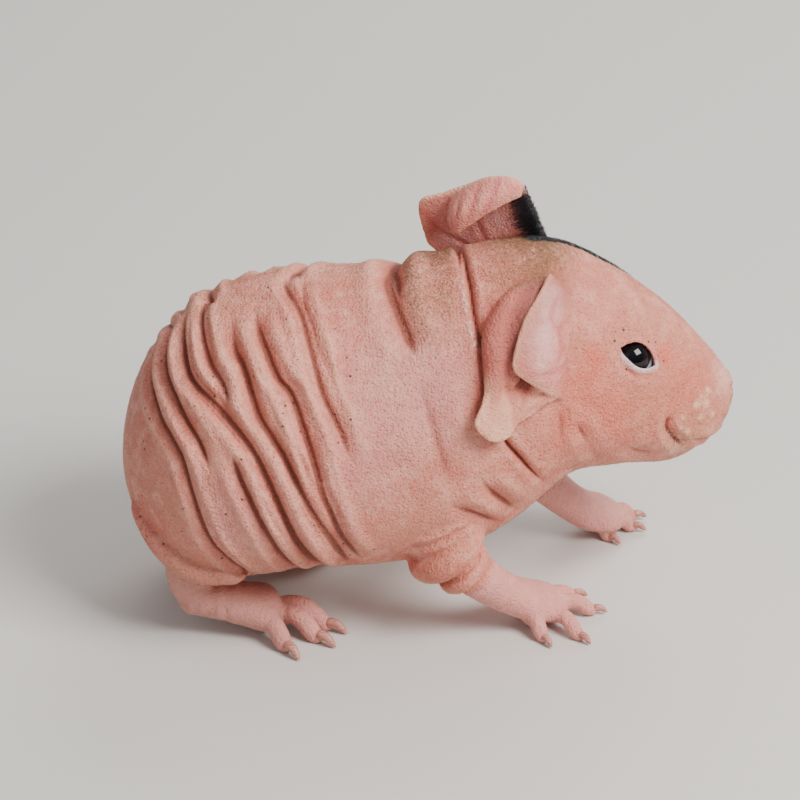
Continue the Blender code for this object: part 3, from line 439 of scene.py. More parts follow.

# Colours of small places: flushed skin, painted shade and dirt on the hind legs, thin ears, the dome
# of the right ear, its flap with a painted sheen (and painted light inside the left ear), the nose, the
# pad beside the mouth, veins, the ear's cup (red, with painted shade), lids, pale blotches, flakes and dark
# specks
FLUSHED = (0.66, 0.125, 0.07)
HIND_SHADE_AND_DIRT = (0.36, 0.16, 0.115)
THIN_EAR = (0.74, 0.28, 0.24)
DOME_RED = (0.38, 0.075, 0.055)
FLAP_PALE_AND_PAINTED_LIGHT = (0.86, 0.50, 0.47)
NOSE_PINK = (0.84, 0.50, 0.42)
PAD_BROWN = (0.50, 0.23, 0.12)
VEIN_RED = (0.52, 0.10, 0.10)
CUP_RED_AND_SHADE = (0.20, 0.04, 0.035)
LID_PALE = (0.74, 0.56, 0.55)
CREAM_SPOT = (0.88, 0.56, 0.37)
FLAKE = (0.86, 0.76, 0.70)
SPECK = (0.045, 0.016, 0.012)


def colour_setting(name, description, default):
    return FloatVectorProperty(name=name, description=description, subtype="COLOR", default=default)


def length_setting(name, description, default):
    return FloatProperty(
        name=name, description=description, default=default * MM, unit="LENGTH", precision=5
    )


class SkinSettings(bpy.types.PropertyGroup):
    net: length_setting("Net", "Spacing of the skin's net", 0.4)
    triangles: IntProperty(name="Triangles", description="Triangles that the skin keeps", default=196000)
    fold_depth: FloatProperty(name="Fold depth", description="Share of each fold's depth", default=1.0)
    peach: colour_setting("Peach", "Skin over fat", (0.66, 0.235, 0.17))
    rose: colour_setting("Rose", "Thin skin full of blood", (0.54, 0.125, 0.085))
    # Pale skin, also laid on the raised banks of the folds as a painted highlight
    pale: colour_setting("Pale", "Stretched skin on ridges", (0.84, 0.41, 0.31))
    cream: colour_setting("Cream", "The ears' rims", (0.88, 0.46, 0.30))
    # Painted cool light, laid over the skin behind the shoulder and low on the flank
    lilac: colour_setting("Lilac", "Cooler skin behind the shoulder", (0.68, 0.34, 0.33))
    tan: colour_setting("Tan", "Skin under the tan fuzz", (0.42, 0.19, 0.09))
    # Painted shade at the bottom of each fold
    crease: colour_setting("Crease", "The bottom of a fold", (0.19, 0.045, 0.028))
    foot: colour_setting("Foot", "The feet's mauve pink", (0.76, 0.36, 0.33))
    dark: colour_setting("Dark", "Skin under the black patch", (0.060, 0.050, 0.055))


class EyeSettings(bpy.types.PropertyGroup):
    cornea: length_setting("Cornea", "How far the cornea stands out", 0.3)
    iris: colour_setting("Iris", "The iris round the pupil", (0.010, 0.008, 0.010))
    white: colour_setting("White", "The bluish white in the corners", (0.30, 0.34, 0.42))


class ClawSettings(bpy.types.PropertyGroup):
    horn: colour_setting("Horn", "The claws' horn", (0.40, 0.15, 0.12))


class CoatSettings(bpy.types.PropertyGroup):
    black_hairs: IntProperty(name="Black hairs", description="Tufts in the black patch", default=11000)
    tan_hairs: IntProperty(name="Tan hairs", description="Tufts of tan fuzz on the head", default=42000)
    pale_hairs: IntProperty(name="Pale hairs", description="Pale stubble over the body", default=62000)
    white_hairs: IntProperty(
        name="White hairs", description="Short bristles round the mouth and brow", default=700
    )


class StageSettings(bpy.types.PropertyGroup):
    key: FloatProperty(
        name="Key light", description="Power of the large soft light", default=11.0, unit="POWER"
    )
    sky: FloatProperty(name="Sky", description="Strength of the light from overhead", default=0.6)
    floor: colour_setting("Floor", "Colour of the floor", (0.62, 0.60, 0.57))


# Curves and forms


def smooth_through(xs, ys, x):
    """A smooth curve through the points (xs, ys), read at x, with the slope of its neighbours at each."""
    slopes = np.gradient(ys, xs)
    i = np.clip(np.searchsorted(xs, x) - 1, 0, len(xs) - 2)
    span = xs[i + 1] - xs[i]
    t = np.clip((x - xs[i]) / span, 0.0, 1.0)
    return (
        (2 * t**3 - 3 * t**2 + 1) * ys[i]
        + (t**3 - 2 * t**2 + t) * span * slopes[i]
        + (3 * t**2 - 2 * t**3) * ys[i + 1]
        + (t**3 - t**2) * span * slopes[i + 1]
    )


def curve_through(stops, count):
    """Points along a smooth curve through stops, a column for each of their coordinates."""
    t = np.linspace(0.0, 1.0, count)
    knots = np.linspace(0.0, 1.0, len(stops))
    return np.column_stack([smooth_through(knots, column, t) for column in np.array(stops, float).T])


def ease(t):
    t = np.clip(t, 0.0, 1.0)
    return t * t * (3 - 2 * t)


def places_of(mesh):
    places = np.empty(len(mesh.vertices) * 3, np.float32)
    mesh.vertices.foreach_get("co", places)
    return places.reshape(-1, 3).astype(float)


def normals_of(mesh):
    normals = np.empty(len(mesh.vertices) * 3, np.float32)
    mesh.vertices.foreach_get("normal", normals)
    return normals.reshape(-1, 3).astype(float)


def set_places(mesh, places):
    mesh.vertices.foreach_set("co", places.astype(np.float32).ravel())
    mesh.update()


def linked(name, data):
    obj = bpy.data.objects.new(name, data)
    bpy.context.scene.collection.objects.link(obj)
    return obj


def finished(name, bm):
    mesh = bpy.data.meshes.new(name)
    bm.to_mesh(mesh)
    bm.free()
    return linked(name, mesh)


def new_object(name, bm):
    bmesh.ops.recalc_face_normals(bm, faces=bm.faces)
    return finished(name, bm)


def face_outward(obj):
    bm = bmesh.new()
    bm.from_mesh(obj.data)
    bmesh.ops.recalc_face_normals(bm, faces=bm.faces)
    bm.to_mesh(obj.data)
    bm.free()
    return obj


def apply_modifiers(obj):
    bpy.context.view_layer.update()
    depsgraph = bpy.context.evaluated_depsgraph_get()
    mesh = bpy.data.meshes.new_from_object(obj.evaluated_get(depsgraph))
    obj.modifiers.clear()
    old = obj.data
    obj.data = mesh
    bpy.data.meshes.remove(old)


def remove(objects):
    for obj in objects:
        bpy.data.objects.remove(obj)


def joined(name, objects):
    """One object of several meshes, which are removed."""
    bm = bmesh.new()
    for obj in objects:
        bm.from_mesh(obj.data)
    remove(objects)
    return finished(name, bm)


def unit_ball(rings, sides):
    bm = bmesh.new()
    bmesh.ops.create_uvsphere(bm, u_segments=sides, v_segments=rings, radius=1.0)
    return bm


def ball_angles(mesh):
    ball = places_of(mesh)
    return np.arccos(np.clip(-ball[:, 2], -1, 1)), np.arctan2(ball[:, 0], ball[:, 1])


def loft_line(rows):
    """The middle line of a form with its two ways across, over the angle between its poles."""
    steps = np.linalg.norm(np.diff(rows[:, :3], axis=0), axis=1)
    length = np.concatenate(([0.0], np.cumsum(steps)))
    at = np.arccos(1 - 2 * length / length[-1])
    grid = np.linspace(0.0, math.pi, 200)
    centre = np.column_stack([smooth_through(at, rows[:, k], grid) for k in range(3)])
    tangent = np.gradient(centre, axis=0)
    tangent[0] = tangent[1]
    tangent[-1] = tangent[-2]
    tangent /= np.linalg.norm(tangent, axis=1)[:, None]
    across = np.array((0.0, 1.0, 0.0)) - tangent[:, 1:2] * tangent
    across /= np.linalg.norm(across, axis=1)[:, None]
    return at, grid, (centre, across, np.cross(tangent, across))


def loft_places(rows, polar, around):
    """Places on a round-ended form, at angles between its poles and round it."""
    rows = np.array(rows, float) * MM
    at, grid, tables = loft_line(rows)
    wide = np.clip(smooth_through(at, rows[:, 3], polar), 0.0, None)
    deep = np.clip(smooth_through(at, rows[:, 4], polar), 0.0, None)
    centre, across, over = (
        np.column_stack([np.interp(polar, grid, table[:, k]) for k in range(3)]) for table in tables
    )
    return centre + across * (wide * np.cos(around))[:, None] + over * (deep * np.sin(around))[:, None]


def loft(name, rows, rings=40, sides=28):
    """A round-ended form through rows of x, y, z and two half thicknesses, in millimetres."""
    obj = new_object(name, unit_ball(rings, sides))
    set_places(obj.data, loft_places(rows, *ball_angles(obj.data)))
    return face_outward(obj)


def ring(name, place, way, radius, thickness):
    """A closed round ring, from a middle, the way it faces, and two radii in millimetres."""
    bm = bmesh.new()
    upright = Matrix.Rotation(math.pi / 2, 4, "X")
    bmesh.ops.create_circle(bm, segments=20, radius=thickness * MM, matrix=upright)
    bmesh.ops.translate(bm, vec=(radius * MM, 0, 0), verts=bm.verts)
    bmesh.ops.spin(
        bm,
        geom=bm.verts[:] + bm.edges[:],
        cent=(0, 0, 0),
        axis=(0, 0, 1),
        angle=math.tau,
        steps=48,
        use_merge=True,
    )
    bmesh.ops.remove_doubles(bm, verts=bm.verts, dist=0.01 * MM)
    turn = Vector(way).to_track_quat("Z", "Y").to_matrix().to_4x4()
    bmesh.ops.transform(bm, matrix=Matrix.Translation(Vector(place) * MM) @ turn, verts=bm.verts)
    return new_object(name, bm)


def trunk_at(polar):
    """Middle line, half width, half height and turn of the trunk at an angle between its two poles."""
    x = TRUNK[:, 0] * MM
    at = np.arccos(1 - 2 * (x - x[0]) / (x[-1] - x[0]))
    grid = np.linspace(0.0, math.pi, 400)
    along = x[0] + (x[-1] - x[0]) * (1 - np.cos(grid)) / 2
    side = smooth_through(at, TRUNK[:, 1] * MM, grid)
    turn = np.interp(polar, grid, np.arctan(np.gradient(side, along + 1e-9 * grid)))
    middle, width, height = (smooth_through(at, TRUNK[:, k] * MM, polar) for k in (2, 3, 4))
    return np.interp(polar, grid, along), np.interp(polar, grid, side), middle, width, height, turn


def trunk_places(polar, down):
    """Places on the trunk, down in radians from the spine, positive towards the left flank."""
    along, side, middle, width, height, turn = trunk_at(polar)
    sag = 1 - 0.10 * np.cos(down)
    out = width * np.sin(down) * sag
    return np.column_stack(
        (along - out * np.sin(turn), side + out * np.cos(turn), middle + height * np.cos(down))
    )


def polar_at(x):
    """The angle between the trunk's poles for a place x millimetres along it."""
    x0 = TRUNK[0, 0]
    x1 = TRUNK[-1, 0]
    return np.arccos(np.clip(1 - 2 * (np.asarray(x) - x0) / (x1 - x0), -1, 1))


def on_trunk(x, degrees, side):
    return trunk_places(polar_at(x), side * np.radians(degrees))


def off_trunk(x, degrees, lift, side):
    """The place so far off the trunk's surface, in millimetres, along its outward direction."""
    step = 0.2
    here = on_trunk(x, degrees, side)
    ahead = on_trunk(np.asarray(x) + step, degrees, side) - here
    down = on_trunk(x, np.asarray(degrees) + step, side) - here
    out = np.cross(ahead, down) * side
    out /= np.linalg.norm(out, axis=1)[:, None]
    return here + out * np.asarray(lift)[:, None] * MM


def chart_of(places):
    """Millimetres along the trunk and degrees from the spine, positive to the left, of any places."""
    x = places[:, 0] / MM
    _, side, middle, width, height, _ = trunk_at(polar_at(x))
    width = np.maximum(width, 1e-4)
    height = np.maximum(height, 1e-4)
    return x, np.degrees(np.arctan2((places[:, 1] - side) / width, (places[:, 2] - middle) / height))


def head_place(forward, left, height):
    """A place given in the head's own frame, in millimetres."""
    c = math.cos(HEAD_YAW)
    s = math.sin(HEAD_YAW)
    turned = np.array((forward * c - left * s, forward * s + left * c, height))
    return (HEAD_PIVOT + turned) * MM


def head_direction(direction):
    return Matrix.Rotation(HEAD_YAW, 3, "Z") @ Vector(direction)


def eye_centre(side):
    forward, off, height = EYE_PLACE
    return Vector(head_place(forward, side * off, height))


def eye_axes(side):
    """The eye's outward aim, its slanting line from corner to corner, and the way up across it."""
    aim = head_direction((EYE_AIM[0], side * EYE_AIM[1], EYE_AIM[2])).normalized()
    level = head_direction((math.cos(EYE_SLANT), 0.0, -math.sin(EYE_SLANT)))
    length = (level - aim * level.dot(aim)).normalized()
    return aim, length, (aim.cross(length) * -side).normalized()


def frame_shift():
    """How far the solids were moved to stand centred on the floor, read from an eye's place."""
    low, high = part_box("eye_right")
    return np.array((low + high) / 2 - eye_centre(-1))


def toe_rows(kind, toe):
    """A toe arched down from its root, and its claw, as rows of a loft in millimetres."""
    x, y, degrees, length, lift = toe
    turn = math.radians(degrees)
    way = np.array((math.cos(turn), math.sin(turn), 0.0))
    up = np.array((0.0, 0.0, 1.0))
    radius = TOE_RADIUS[kind]
    claw = CLAW_LENGTH[kind]
    thick = CLAW_RADIUS[kind]
    root = np.array((x, y, radius * 1.9))
    reach = length - claw * 0.72
    knuckle = root + way * reach * 0.42 + up * radius * 0.25
    end = np.array((x, y, radius - PAD_PRESS + lift)) + way * reach
    flesh = [
        (*(root - way * radius * 1.6), 0.0, 0.0),
        (*root, radius * 1.06, radius * 1.0),
        (*knuckle, radius * 0.98, radius * 0.98),
        (*(end - way * radius * 0.9), radius * 0.86, radius * 0.94),
        (*(end + way * radius * 0.62), 0.0, 0.0),
    ]
    nail_root = end - way * claw * 0.26 + up * radius * 0.20
    nail_mid = end + way * claw * 0.28 + up * radius * 0.14
    nail_end = end + way * claw * 0.72
    nail_end[2] = 0.42 + lift
    nail = [
        (*nail_root, 0.0, 0.0),
        (*(nail_root * 0.65 + nail_mid * 0.35), thick, thick * 0.9),
        (*nail_mid, thick * 0.86, thick * 0.88),
        (*(nail_mid * 0.4 + nail_end * 0.6), thick * 0.52, thick * 0.58),
        (*nail_end, 0.0, 0.0),
    ]
    return np.array(flesh), np.array(nail)


def net_places(net, down, across):
    """Places on a net, at shares down its rows and across its columns."""
    over_rows, over_columns = (np.linspace(0.0, 1.0, count) for count in net.shape[:2])
    places = np.zeros((len(down), 3))
    for k in range(3):
        lines = np.array([smooth_through(over_columns, row, across) for row in net[:, :, k]])
        for i, t in enumerate(down):
            places[i, k] = smooth_through(over_rows, lines[:, i], np.array([t]))[0]
    return places


def to_left_hind(rows):
    """The right hind limb's rows, set on the left."""
    rows = np.array(rows, float)
    rows[:, 1] *= -1
    rows[:, :3] += LEFT_HIND_SHIFT
    return rows


def sheet(name, net, across, down):
    """A thin bent sheet through a net of places."""
    bm = bmesh.new()
    bmesh.ops.create_grid(bm, x_segments=across, y_segments=down, size=1.0)
    u = np.array([(vert.co.x + 1) / 2 for vert in bm.verts])
    v = np.array([(1 - vert.co.y) / 2 for vert in bm.verts])
    for vert, place in zip(bm.verts, net_places(net, v, u)):
        vert.co = place
    obj = new_object(name, bm)
    solid = obj.modifiers.new("thick", "SOLIDIFY")
    solid.thickness = EAR_THICKNESS * MM
    solid.offset = 0.0
    apply_modifiers(obj)
    return face_outward(obj)


def cord_on_trunk(name, rows, side):
    """A rounded ridge over the trunk through rows of millimetres along it, degrees, lift and radius."""
    rows = np.array(rows, float)
    return cord(name, off_trunk(*rows[:, :3].T, side), rows[:, 3])


def cord(name, line, radii):
    """A rounded ridge through the places of a line, given in metres, with a radius in mm at each."""
    rows = [(*place, radius, radius) for place, radius in zip(line / MM, radii)]
    return loft(name, rows, 28, 16)


def root_radii(line):
    return [0.0] + [EAR_ROOT_RADIUS] * (len(line) - 2) + [0.0]


def on_head(net):
    """A net of places on the head's right side, in metres."""
    net = np.array(net, float)
    flat = net.reshape(-1, net.shape[-1])
    places = off_trunk(flat[:, 0], flat[:, 1], flat[:, 2], -1)
    return places.reshape((*net.shape[:-1], 3))


def trunk_forms():
    body = new_object("trunk", unit_ball(TRUNK_RINGS, TRUNK_SIDES))
    polar, around = ball_angles(body.data)
    set_places(body.data, trunk_places(polar, around))
    forms = [face_outward(body)]
    forms += [loft("upper arm", rows) for rows in (UPPER_ARM_RIGHT, UPPER_ARM_LEFT)]
    forms += [ring("sleeve", *row) for row in SLEEVES]
    forms += [cord_on_trunk("skirt", SKIRT, side) for side in (-1, 1)]
    return forms


def toes_of(foot):
    """The flesh and the claw of each toe of a foot, as rows of a loft in millimetres."""
    pairs = [toe_rows(foot[:4], toe) for toe in TOES[foot]]
    if foot == "hind_left":
        return [[to_left_hind(rows) for rows in pair] for pair in pairs]
    return pairs


def limb_forms():
    forms = [loft("forearm", rows) for rows in (FOREARM_RIGHT, FOREARM_LEFT)]
    for rows in (SHANK_RIGHT, SOLE_RIGHT):
        forms += [loft("shank", rows), loft("shank", to_left_hind(rows))]
    for foot in TOES:
        forms += [loft("toe", flesh, 20, 16) for flesh, _ in toes_of(foot)]
    return forms


def ear_nets():
    """The nets of the two ears, in metres."""
    right = [on_head(RIGHT_FLAP), on_head(RIGHT_LOBE)]
    left = [np.array(net) * MM for net in (LEFT_LEAF, LEFT_FOLD)]
    return right + left


def ear_forms():
    forms = [sheet("ear sheet", net, 26, 30) for net in ear_nets()]
    forms += [cord_on_trunk("ear cord", rows, -1) for rows in (RIGHT_ROLL, RIGHT_DOME)]
    forms.append(cord("ear root", on_head(RIGHT_EAR_ROOT), root_radii(RIGHT_EAR_ROOT)))
    forms.append(cord("ear root", np.array(LEFT_EAR_ROOT) * MM, root_radii(LEFT_EAR_ROOT)))
    return forms


# The skin's detail


def tree_of(obj):
    depsgraph = bpy.context.evaluated_depsgraph_get()
    return BVHTree.FromObject(obj, depsgraph)


def distances(tree, places):
    return np.array([tree.find_nearest(place)[3] for place in places])


def search_tree(points):
    tree = KDTree(len(points))
    for i, point in enumerate(points):
        tree.insert(point, i)
    tree.balance()
    return tree


def around_points(places, points, reach):
    """The numbers of the places that lie in the points' box, widened by a reach."""
    low = points.min(axis=0) - reach
    high = points.max(axis=0) + reach
    return np.flatnonzero(np.all((places > low) & (places < high), axis=1))


def near_curve(places, points, reach):
    """How near each place is to the points of a curve: 1 on it, falling to 0 past the reach."""
    tree = search_tree(points)
    away = np.full(len(places), FAR)
    near = around_points(places, points, 3 * reach)
    away[near] = [tree.find(place)[2] for place in places[near]]
    return np.exp(-((away / reach) ** 2))


def crease(places, normals, points, depth, half_width, crease_shade=None, bank=BANK):
    """How deep a crease along the points presses: a sharp valley between raised, rounded banks.

    The crease shade, where given, keeps how near each place is to the very bottom, where shade is painted.
    """
    pressed = np.zeros(len(places))
    near = around_points(places, points, 6 * half_width)
    if len(near) == 0:
        return pressed
    tree = search_tree(points)
    nearest = np.array([tree.find(place)[1] for place in places[near]])
    tangent = np.gradient(points, axis=0)
    step = np.linalg.norm(tangent, axis=1)
    tangent /= np.maximum(step, 1e-9)[:, None]
    away = places[near] - points[nearest]
    off = np.einsum("ij,ij->i", away, normals[near])
    away -= np.clip(off, -2 * MM, 2 * MM)[:, None] * normals[near]
    slip = np.einsum("ij,ij->i", away, tangent[nearest])
    slip = np.clip(slip, -0.6 * step[nearest], 0.6 * step[nearest])
    distance = np.linalg.norm(away - slip[:, None] * tangent[nearest], axis=1) / half_width
    level = depth[nearest] + (np.gradient(depth) / step)[nearest] * slip
    valley = np.exp(-(distance**0.95))
    banks = np.exp(-(((distance - BANK_PLACE) / BANK_WIDTH) ** 2))
    pressed[near] = level * (valley - bank * banks)
    if crease_shade is not None:
        bottom = level / (DEEP * MM) * np.exp(-((distance / 0.55) ** 2))
        crease_shade[near] = np.maximum(crease_shade[near], bottom)
    return pressed


def line_on_trunk(stops, side, shift, count=90):
    """Points of a line on the trunk, moved a shift along it, with their shares of the way."""
    x, degrees = curve_through(stops, count).T
    return np.linspace(0.0, 1.0, count), on_trunk(x + shift, degrees, side)


def folds_of(places, normals, scale):
    """How deep all folds of the trunk press at each place, in metres, and how near their lines are."""
    pressed = np.zeros(len(places))
    crease_shade = np.zeros(len(places))
    random = np.random.default_rng(7)
    for side in (-1, 1):
        for folds in (BODY_FOLDS, SHOULDER_FOLDS, CHEEK_FOLDS):
            for row, (stops, depth, half_width) in enumerate(folds):
                shift = 0.0 if side < 0 else 1.2 * math.sin(2.3 * row + 0.7)
                t, points = line_on_trunk(stops, side, shift)
                taper = 0.16 if folds is BODY_FOLDS or len(stops) > 5 else 0.4
                level = depth * scale * MM * ease(t / taper) * ease((1 - t) / taper)
                bank = BANK if half_width > 0.6 else BANK / 3
                pressed += crease(places, normals, points, level, half_width * MM, crease_shade, bank)
                for _ in range(FINE_WRINKLES if folds is BODY_FOLDS else 0):
                    offset = random.uniform(1.2, 3.2) * random.choice((-1, 1))
                    t, points = line_on_trunk(stops, side, shift + offset)
                    start = random.uniform(0.0, 0.55)
                    fade = ease((t - start) / 0.2) * ease((start + 0.45 - t) / 0.2)
                    fine = depth * scale * random.uniform(0.14, 0.28) * MM * fade
                    pressed += crease(places, normals, points, fine, FINE_WIDTH * MM, crease_shade)
    return pressed, crease_shade


def sleeve_creases(places, normals):
    """How deep the creases between the rolls over the forearms press, in metres."""
    pressed = np.zeros(len(places))
    around = np.linspace(0.0, 2 * math.pi, 90)
    for place, way, radius, depth in SLEEVE_CREASES:
        turn = np.array(Vector(way).to_track_quat("Z", "Y").to_matrix())
        circle = np.column_stack((np.cos(around), np.sin(around), np.zeros(90))) * radius * MM
        points = circle @ turn.T + np.array(place) * MM
        level = depth * MM * (0.75 + 0.25 * np.sin(2 * around + 1))
        pressed += crease(places, normals, points, level, 0.5 * MM)
    return pressed


def soften_round(obj, place, reach, times):
    """Smooths the skin within a reach of a place, so that rolls there run into each other."""
    near = np.linalg.norm(places_of(obj.data) - np.array(place) * MM, axis=1) < reach * MM
    group = obj.vertex_groups.new(name="soft")
    group.add(np.flatnonzero(near).tolist(), 1.0, "ADD")
    smooth = obj.modifiers.new("soften", "SMOOTH")
    smooth.vertex_group = group.name
    smooth.factor = 0.5
    smooth.iterations = times
    apply_modifiers(obj)
    obj.vertex_groups.clear()


def patches(places, rows):
    """How strongly round patches, given on the trunk, mark each place on both sides."""
    x, degrees, reach, strength = np.array(rows).T
    marked = np.zeros(len(places))
    for side in (-1, 1):
        for spot, radius, height in zip(on_trunk(x, degrees, side), reach, strength):
            marked += bump(places, spot, radius, height) / MM
    return marked


def through(points, count=12):
    """Points spread evenly along the straight lines between the given ones."""
    return np.vstack([np.linspace(points[k], points[k + 1], count) for k in range(len(points) - 1)])


def lid_folds(places, normals, crease_shade):
    """How deep the fold under each lower lid presses, in metres."""
    pressed = np.zeros(len(places))
    for side in (-1, 1):
        centre = np.array(eye_centre(side))
        lower = lid_line(side, LID_EDGE)[62:112]
        aim = np.array(eye_axes(side)[0])
        outward = lower - centre
        outward -= (outward @ aim)[:, None] * aim
        outward /= np.linalg.norm(outward, axis=1)[:, None]
        fold = lower + outward * 1.5 * MM - aim * 0.7 * MM
        level = 0.38 * MM * np.sin(np.linspace(0, math.pi, len(fold)))
        pressed += crease(places, normals, fold, level, 0.5 * MM, crease_shade)
    return pressed


def limb_wrinkles(places, normals):
    """How deep the wrinkles round the wrists and ankles press at each place, in metres."""
    pressed = np.zeros(len(places))
    around = np.linspace(0.0, 2 * math.pi, 70)
    for rows, shares in WRINKLES:
        sets = [np.array(rows, float)]
        if rows in (SHANK_RIGHT, SOLE_RIGHT):
            sets.append(to_left_hind(rows))
        for row_set in sets:
            for share in shares:
                tilt = 0.02 * np.sin(around * 2 + 40 * share)
                points = loft_places(row_set, math.pi * (share + tilt), around)
                depth = 0.34 * MM * (0.65 + 0.35 * np.sin(around * 3 + 9 * share))
                pressed += crease(places, normals, points, depth, 0.5 * MM)
    return pressed


def ear_lines():
    """Points along the creases of the ears."""
    lines = []
    for net, veins in zip(ear_nets(), (FLAP_VEINS, LOBE_VEINS, LEAF_VEINS, FOLD_VEINS)):
        lines += [net_places(net, *curve_through(stops, 60).T) for stops in veins]
    return lines


def bump(places, centre, radius, height):
    distance = np.linalg.norm(places - np.array(centre), axis=1) / (radius * MM)
    return height * MM * np.exp(-(distance**2))


def head_curve(stops, count=60):
    """Smooth points through stops given in the head's frame."""
    return curve_through([head_place(*stop) for stop in stops], count)


def shape_face(mesh):
    """Cheeks, brow, the pads of the muzzle, the mouth, the nostrils and the fold under each eye."""
    places = places_of(mesh)
    normals = normals_of(mesh)
    push = np.zeros(len(places))
    swell = np.sin(np.linspace(0, math.pi, 60)) ** 0.5
    for side in (-1, 1):
        push += bump(places, head_place(3.0, side * 16.0, 44.0), 9.0, 1.5)
        push += bump(places, head_place(13.0, side * 11.5, 66.0), 5.0, 0.9)
        push += bump(places, head_place(27.6, side * 8.8, 41.6), 3.0, 0.9)
        push -= bump(places, head_place(21.0, side * 12.5, 50.0), 5.0, 0.7)
        mouth = head_curve(((33.5, 0.0, 38.6), (30.6, side * 4.6, 38.0), (24.6, side * 9.4, 40.4)))
        push -= crease(places, normals, mouth, 1.2 * MM * swell, 0.5 * MM)
        nostril = head_curve(((35.7, side * 1.3, 45.4), (35.4, side * 2.3, 46.4), (34.6, side * 3.3, 46.7)))
        push -= crease(places, normals, nostril, 1.3 * MM * swell, 0.45 * MM)
    lip = head_curve(((35.8, 0.0, 44.2), (35.0, 0.0, 41.5), (33.6, 0.0, 38.8)))
    push -= crease(places, normals, lip, 0.9 * MM * swell, 0.45 * MM)
    pads = sum(bump(places, head_place(30.0, side * 6.5, 41.5), 6.0, 1.0) for side in (-1, 1))
    push += 0.28 * wobble(places, 1.5 * MM) * pads
    set_places(mesh, places + normals * push[:, None])


def wrap_eyes(mesh):
    """Draws the skin out over each eyeball, as lids."""
    places = places_of(mesh)
    for side in (-1, 1):
        centre = np.array(eye_centre(side))
        aim = np.array(eye_axes(side)[0])
        away = places - centre
        distance = np.linalg.norm(away, axis=1)
        outward = away / np.maximum(distance, 1e-9)[:, None]
        facing = ease((outward @ aim - 0.05) / 0.45)
        wanted = (EYE_RADIUS + LID_THICKNESS + 0.1) * MM
        short = np.clip(wanted - distance, 0.0, None) * facing
        near = np.exp(-((np.clip(distance - wanted, 0.0, None) / (LID_BLEND * MM)) ** 2)) * facing
        places += outward * (short + LID_BLEND * 0.2 * MM * near)[:, None]
    set_places(mesh, places)


def almond_line(count):
    """Points round the opening between the lids: along the eye, and up across it, in millimetres."""
    turn = np.linspace(0.0, 2 * math.pi, count, endpoint=False)
    along = np.cos(turn)
    arch = np.abs(np.sin(turn)) ** EYE_POINT
    upper = EYE_RISE * arch * (1 - EYE_SKEW[0] * along)
    lower = -EYE_FALL * arch * (1 + EYE_SKEW[1] * along)
    return along * EYE_LENGTH / 2, np.where(np.sin(turn) > 0, upper, lower)


def almond(name, side):
    """The opening between the lids, as a prism along the eye's aim."""
    aim, length, up = eye_axes(side)
    centre = eye_centre(side)
    count = 72
    bm = bmesh.new()
    bmesh.ops.create_circle(bm, cap_ends=True, segments=count, radius=1.0)
    ordered = sorted(bm.verts, key=lambda vert: math.atan2(vert.co.y, vert.co.x) % (2 * math.pi))
    along, lift = almond_line(count)
    for vert, a, b in zip(ordered, along, lift):
        vert.co = centre + (length * a + up * b + aim * EYE_RADIUS * 0.42) * MM
    pulled = bmesh.ops.extrude_face_region(bm, geom=bm.faces[:])
    moved = [item for item in pulled["geom"] if isinstance(item, bmesh.types.BMVert)]
    bmesh.ops.translate(bm, verts=moved, vec=aim * EYE_RADIUS * 1.4 * MM)
    return new_object(name, bm)


def lid_line(side, outward=0.3):
    """The edge of the lids in space, just over the eyeball."""
    aim, length, up = (np.array(axis) for axis in eye_axes(side))
    along, lift = almond_line(120)
    depth = np.sqrt(np.maximum((EYE_RADIUS + outward) ** 2 - along**2 - lift**2, 1.0))
    flat = along[:, None] * length + lift[:, None] * up + depth[:, None] * aim
    return np.array(eye_centre(side)) + flat * MM


def carve(obj, tool):
    cut = obj.modifiers.new("cut", "BOOLEAN")
    cut.operation = "DIFFERENCE"
    cut.object = tool
    cut.solver = "MANIFOLD"
    apply_modifiers(obj)
    remove((tool,))


def open_eyes(obj):
    for side in (-1, 1):
        bm = unit_ball(40, 56)
        bmesh.ops.scale(bm, vec=Vector((1, 1, 1)) * (EYE_RADIUS + 0.08) * MM, verts=bm.verts)
        bmesh.ops.translate(bm, vec=eye_centre(side), verts=bm.verts)
        carve(obj, new_object("socket", bm))
        carve(obj, almond("opening", side))
    places = places_of(obj.data)
    rim = np.maximum(near_curve(places, lid_line(-1), 0.8 * MM), near_curve(places, lid_line(1), 0.8 * MM))
    bm = bmesh.new()
    bm.from_mesh(obj.data)
    bm.verts.ensure_lookup_table()
    soft = [bm.verts[int(i)] for i in np.flatnonzero(rim > 0.45)]
    for _ in range(4):
        bmesh.ops.smooth_vert(bm, verts=soft, factor=0.4, use_axis_x=True, use_axis_y=True, use_axis_z=True)
    bm.to_mesh(obj.data)
    bm.free()


def wobble(places, size):
    """Smooth random values between about -1 and 1 over places, with features of a size in metres."""
    return np.array([noise.noise(Vector(place) / size) for place in places])


def keep_mask(mesh, name, values):
    layer = mesh.attributes.new(name, "FLOAT", "POINT")
    layer.data.foreach_set("value", np.clip(values, 0.0, 1.0).astype(np.float32))


def read_mask(mesh, name):
    values = np.empty(len(mesh.vertices), np.float32)
    mesh.attributes[name].data.foreach_get("value", values)
    return values.astype(float)


def net_edges():
    """Lines along the free edges of the ears."""
    flap, lobe, leaf, fold = ear_nets()
    right = (flap[:, -1], flap[-1, 1:], lobe[1:, 0], lobe[-1, :])
    left = (leaf[:, -1], leaf[-1, 1:], leaf[0, 1:], fold[:, -1])
    return np.vstack([curve_through(edge, 60) for edge in right + left])


